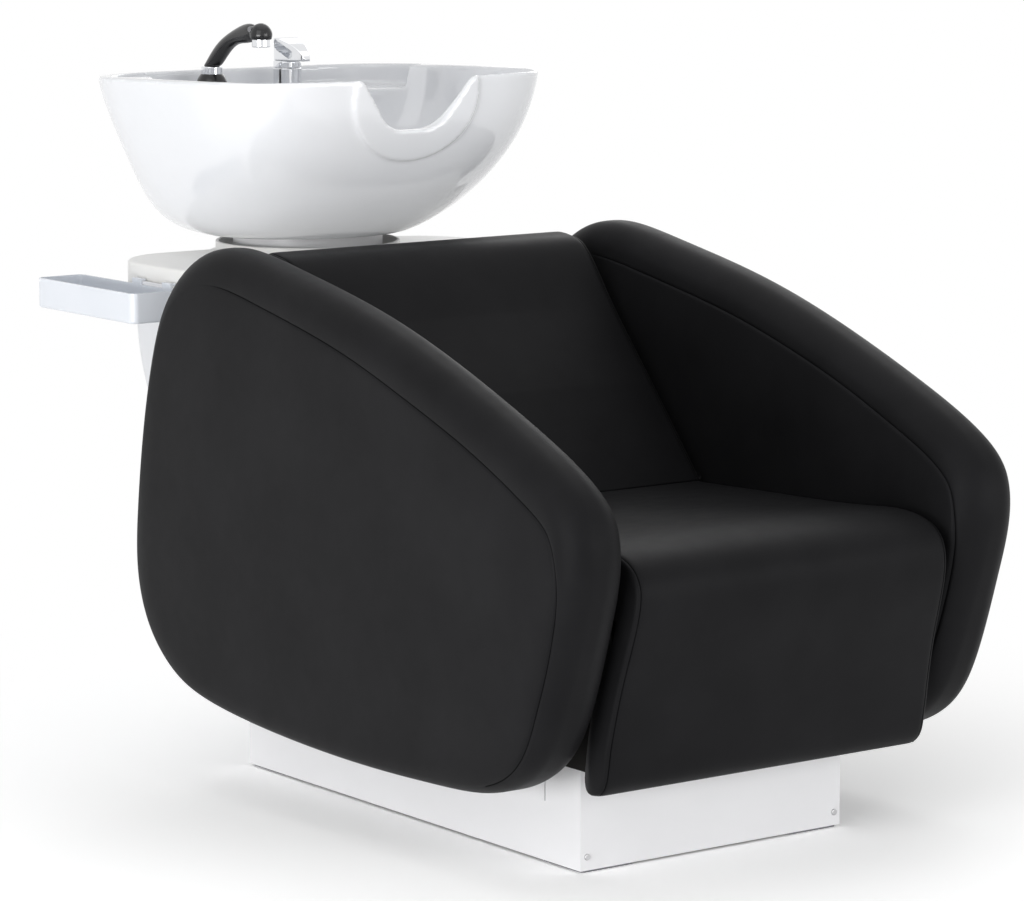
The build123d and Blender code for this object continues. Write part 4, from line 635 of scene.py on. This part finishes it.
SEAT_REAR_TOP = (back_face(SEAT_REAR_HEIGHT, PAD_THICKNESS), SEAT_TOP)
SEAT_NOSE_FOOT = (-0.512, 0.132)
SEAT_UPPER = (
    SEAT_REAR_TOP, (SEAT_REAR, SEAT_TOP), (-0.200, 0.4495), (-0.4095, 0.4576), (-0.503, 0.463),
    (-0.5645, 0.4467), (-0.585, 0.4071), (-0.5575, 0.2925), (-0.5335, 0.180), (-0.525, 0.146), SEAT_NOSE_FOOT,
)
SEAT_LOWER = (
    SEAT_NOSE_FOOT, (-0.498, 0.1295), (-0.484, 0.131), (-0.4755, 0.139), (-0.4743, 0.150),
    (-0.5243, SEAT_UNDERSIDE), (back_face(0.370, PAD_THICKNESS), SEAT_UNDERSIDE), SEAT_REAR_TOP,
)
seat = side_pad(
    "seat_pad_upholstery", SEAT_UPPER, SEAT_LOWER,
    spine=((-0.02, 0.408), (-0.50, 0.415), (-0.545, 0.37), (-0.502, 0.17)),
    roll=0.009, crown=0.007,
    crown_mask=((0, 0), (0.12, 0.1), (0.3, 0.6), (0.45, 1), (0.7, 0.8), (0.9, 0.5), (1, 0)),
    seam_at=0.0065, flare=0.045,
)
add_upholstery("seat_pad", *seat, fill=0.9)

HEAD = BACK_TOP - BACK_ROUND * (1 - math.sin(LEAN))
BACK_REAR = on_back(BACK_TOP - PAD_THICKNESS * math.sin(LEAN) + BACK_HEEL, PAD_THICKNESS)
BACK_UPPER = (
    on_back(SEAT_REAR_HEIGHT), on_back(0.5), on_back(0.6), on_back(0.7), on_back(HEAD),
    on_back(0.783, 0.018), on_back(BACK_TOP, 0.0357), on_back(0.771, 0.060), BACK_REAR,
)
BACK_LOWER = (BACK_REAR, on_back(SEAT_REAR_HEIGHT, PAD_THICKNESS), on_back(SEAT_REAR_HEIGHT))
back = side_pad(
    "back_pad_upholstery", BACK_UPPER, BACK_LOWER,
    spine=((0.02, 0.475), (0.24, 0.74)),
    roll=0.010, crown=0.009,
    crown_mask=((0, 0), (0.12, 0.6), (0.32, 1), (0.50, 0.3), (0.58, 0), (1, 0)),
    seam_at=0.0075,
)
add_upholstery("back_pad", *back, fill=0.9)


# Edges that are round on the real pieces, where the CAD solids have them sharp

def soften(node_name, voxel, rounds):
    """Rounds every edge of a cast piece by rebuilding its skin finely and relaxing it."""
    skin = NODES[node_name].modifiers.new("skin", "REMESH")
    skin.mode = "VOXEL"
    skin.voxel_size = voxel
    skin.use_smooth_shade = True
    relax = NODES[node_name].modifiers.new("relax", "SMOOTH")
    relax.factor = 0.5
    relax.iterations = rounds


soften("basin", voxel=0.0026, rounds=12)
soften("mixer_lever", voxel=0.0007, rounds=5)
soften("handset", voxel=0.0009, rounds=12)


# Floor, backdrop, lamps and camera

def seen_ray(tree):
    """One where a ray comes from the camera, or by way of metal or glass."""
    light = node(tree, "ShaderNodeLightPath")
    first = node(tree, "ShaderNodeMath", operation="MAXIMUM")
    second = node(tree, "ShaderNodeMath", operation="MAXIMUM")
    tree.links.new(light.outputs["Is Camera Ray"], first.inputs[0])
    tree.links.new(light.outputs["Is Glossy Ray"], first.inputs[1])
    tree.links.new(first.outputs[0], second.inputs[0])
    tree.links.new(light.outputs["Is Transmission Ray"], second.inputs[1])
    return second.outputs[0]


# The paper lights the object with one shade and is seen in another, brighter one, so that it looks white
PAPER_LIGHT = (0.90, 0.90, 0.90, 1)
PAPER_SEEN = (1.50, 1.50, 1.50, 1)
PLAIN_WHITE = (1, 1, 1, 1)
SHADOW_REACH, PLAIN_REACH = 0.60, 1.5
FLOOR_SIZE = 30
SKY_LIGHT = 0.45


def floor_material():
    """White paper that keeps the shadow near the object and runs out into plain white."""
    mat = bpy.data.materials.new("floor")
    mat.use_nodes = True
    tree = mat.node_tree
    tree.nodes.clear()
    out = tree.nodes.new("ShaderNodeOutputMaterial")
    paper = node(tree, "ShaderNodeBsdfDiffuse", Color=PAPER_LIGHT)
    shown = node(tree, "ShaderNodeBsdfDiffuse", Color=PAPER_SEEN)
    plain = node(tree, "ShaderNodeEmission", Color=PLAIN_WHITE, Strength=1.0)
    where = node(tree, "ShaderNodeTexCoord")
    apart = node(tree, "ShaderNodeVectorMath", operation="LENGTH")
    tree.links.new(where.outputs["Object"], apart.inputs[0])
    reach = node(tree, "ShaderNodeMapRange")
    reach.interpolation_type = "SMOOTHSTEP"
    reach.inputs["From Min"].default_value = SHADOW_REACH
    reach.inputs["From Max"].default_value = PLAIN_REACH
    tree.links.new(apart.outputs["Value"], reach.inputs["Value"])
    run_out = tree.nodes.new("ShaderNodeMixShader")
    tree.links.new(reach.outputs["Result"], run_out.inputs[0])
    tree.links.new(shown.outputs[0], run_out.inputs[1])
    tree.links.new(plain.outputs[0], run_out.inputs[2])
    pick = tree.nodes.new("ShaderNodeMixShader")
    tree.links.new(seen_ray(tree), pick.inputs[0])
    tree.links.new(paper.outputs[0], pick.inputs[1])
    tree.links.new(run_out.outputs[0], pick.inputs[2])
    tree.links.new(pick.outputs[0], out.inputs[0])
    return mat


work = bmesh.new()
bmesh.ops.create_grid(work, x_segments=1, y_segments=1, size=FLOOR_SIZE)
floor_mesh = bpy.data.meshes.new("floor")
work.to_mesh(floor_mesh)
work.free()
floor = bpy.data.objects.new("floor", floor_mesh)
bpy.context.scene.collection.objects.link(floor)
floor_mesh.materials.append(floor_material())

world = bpy.data.worlds.new("studio")
bpy.context.scene.world = world
world.use_nodes = True
tree = world.node_tree
tree.nodes.clear()
out = tree.nodes.new("ShaderNodeOutputWorld")
sky = node(tree, "ShaderNodeBackground", Color=PLAIN_WHITE, Strength=SKY_LIGHT)
seen = node(tree, "ShaderNodeBackground", Color=PLAIN_WHITE, Strength=1.0)
pick = tree.nodes.new("ShaderNodeMixShader")
tree.links.new(seen_ray(tree), pick.inputs[0])
tree.links.new(sky.outputs[0], pick.inputs[1])
tree.links.new(seen.outputs[0], pick.inputs[2])
tree.links.new(pick.outputs[0], out.inputs[0])


def lamp(name, where, target, size, power):
    """A white area lamp that faces its target."""
    data = bpy.data.lights.new(name, "AREA")
    data.shape = "RECTANGLE"
    data.size, data.size_y = size
    data.energy = power
    obj = bpy.data.objects.new(name, data)
    obj.location = where
    obj.rotation_euler = (Vector(target) - Vector(where)).to_track_quat("-Z", "Y").to_euler()
    bpy.context.scene.collection.objects.link(obj)


lamp("key", where=(-3.6, -1.6, 3.0), target=(0, 0, 0.6), size=(3.4, 3.0), power=38)
lamp("side", where=(-3.9, -1.6, 0.55), target=(-0.2, 0, 0.3), size=(3.0, 1.0), power=98)
lamp("front", where=(1.4, -4.3, 1.0), target=(0, -0.3, 0.3), size=(2.8, 1.6), power=60)
lamp("top", where=(0.2, 0.4, 3.6), target=(0, 0.1, 0.5), size=(2.8, 2.8), power=10)
lamp("rear", where=(2.8, 2.4, 2.2), target=(0, 0.1, 0.7), size=(2.2, 2.0), power=18)

# The camera stands where the photo was taken from, as solved from its outlines
CAMERA_PLACE = (-3.6345, -4.8746, 1.4334)
CAMERA_LENS, CAMERA_SENSOR = 150.15, 36
CAMERA_DIP, CAMERA_TURN = 8.66, 36.385
CAMERA_REACH = 100

camera_data = bpy.data.cameras.new("camera")
camera_data.lens = CAMERA_LENS
camera_data.sensor_width = CAMERA_SENSOR
camera_data.sensor_fit = "HORIZONTAL"
camera_data.clip_end = CAMERA_REACH
camera = bpy.data.objects.new("camera", camera_data)
camera.location = CAMERA_PLACE
camera.rotation_euler = Euler((math.radians(90 - CAMERA_DIP), 0, math.radians(-CAMERA_TURN)))
bpy.context.scene.collection.objects.link(camera)
bpy.context.scene.camera = camera
bpy.context.scene.view_settings.view_transform = "Standard"
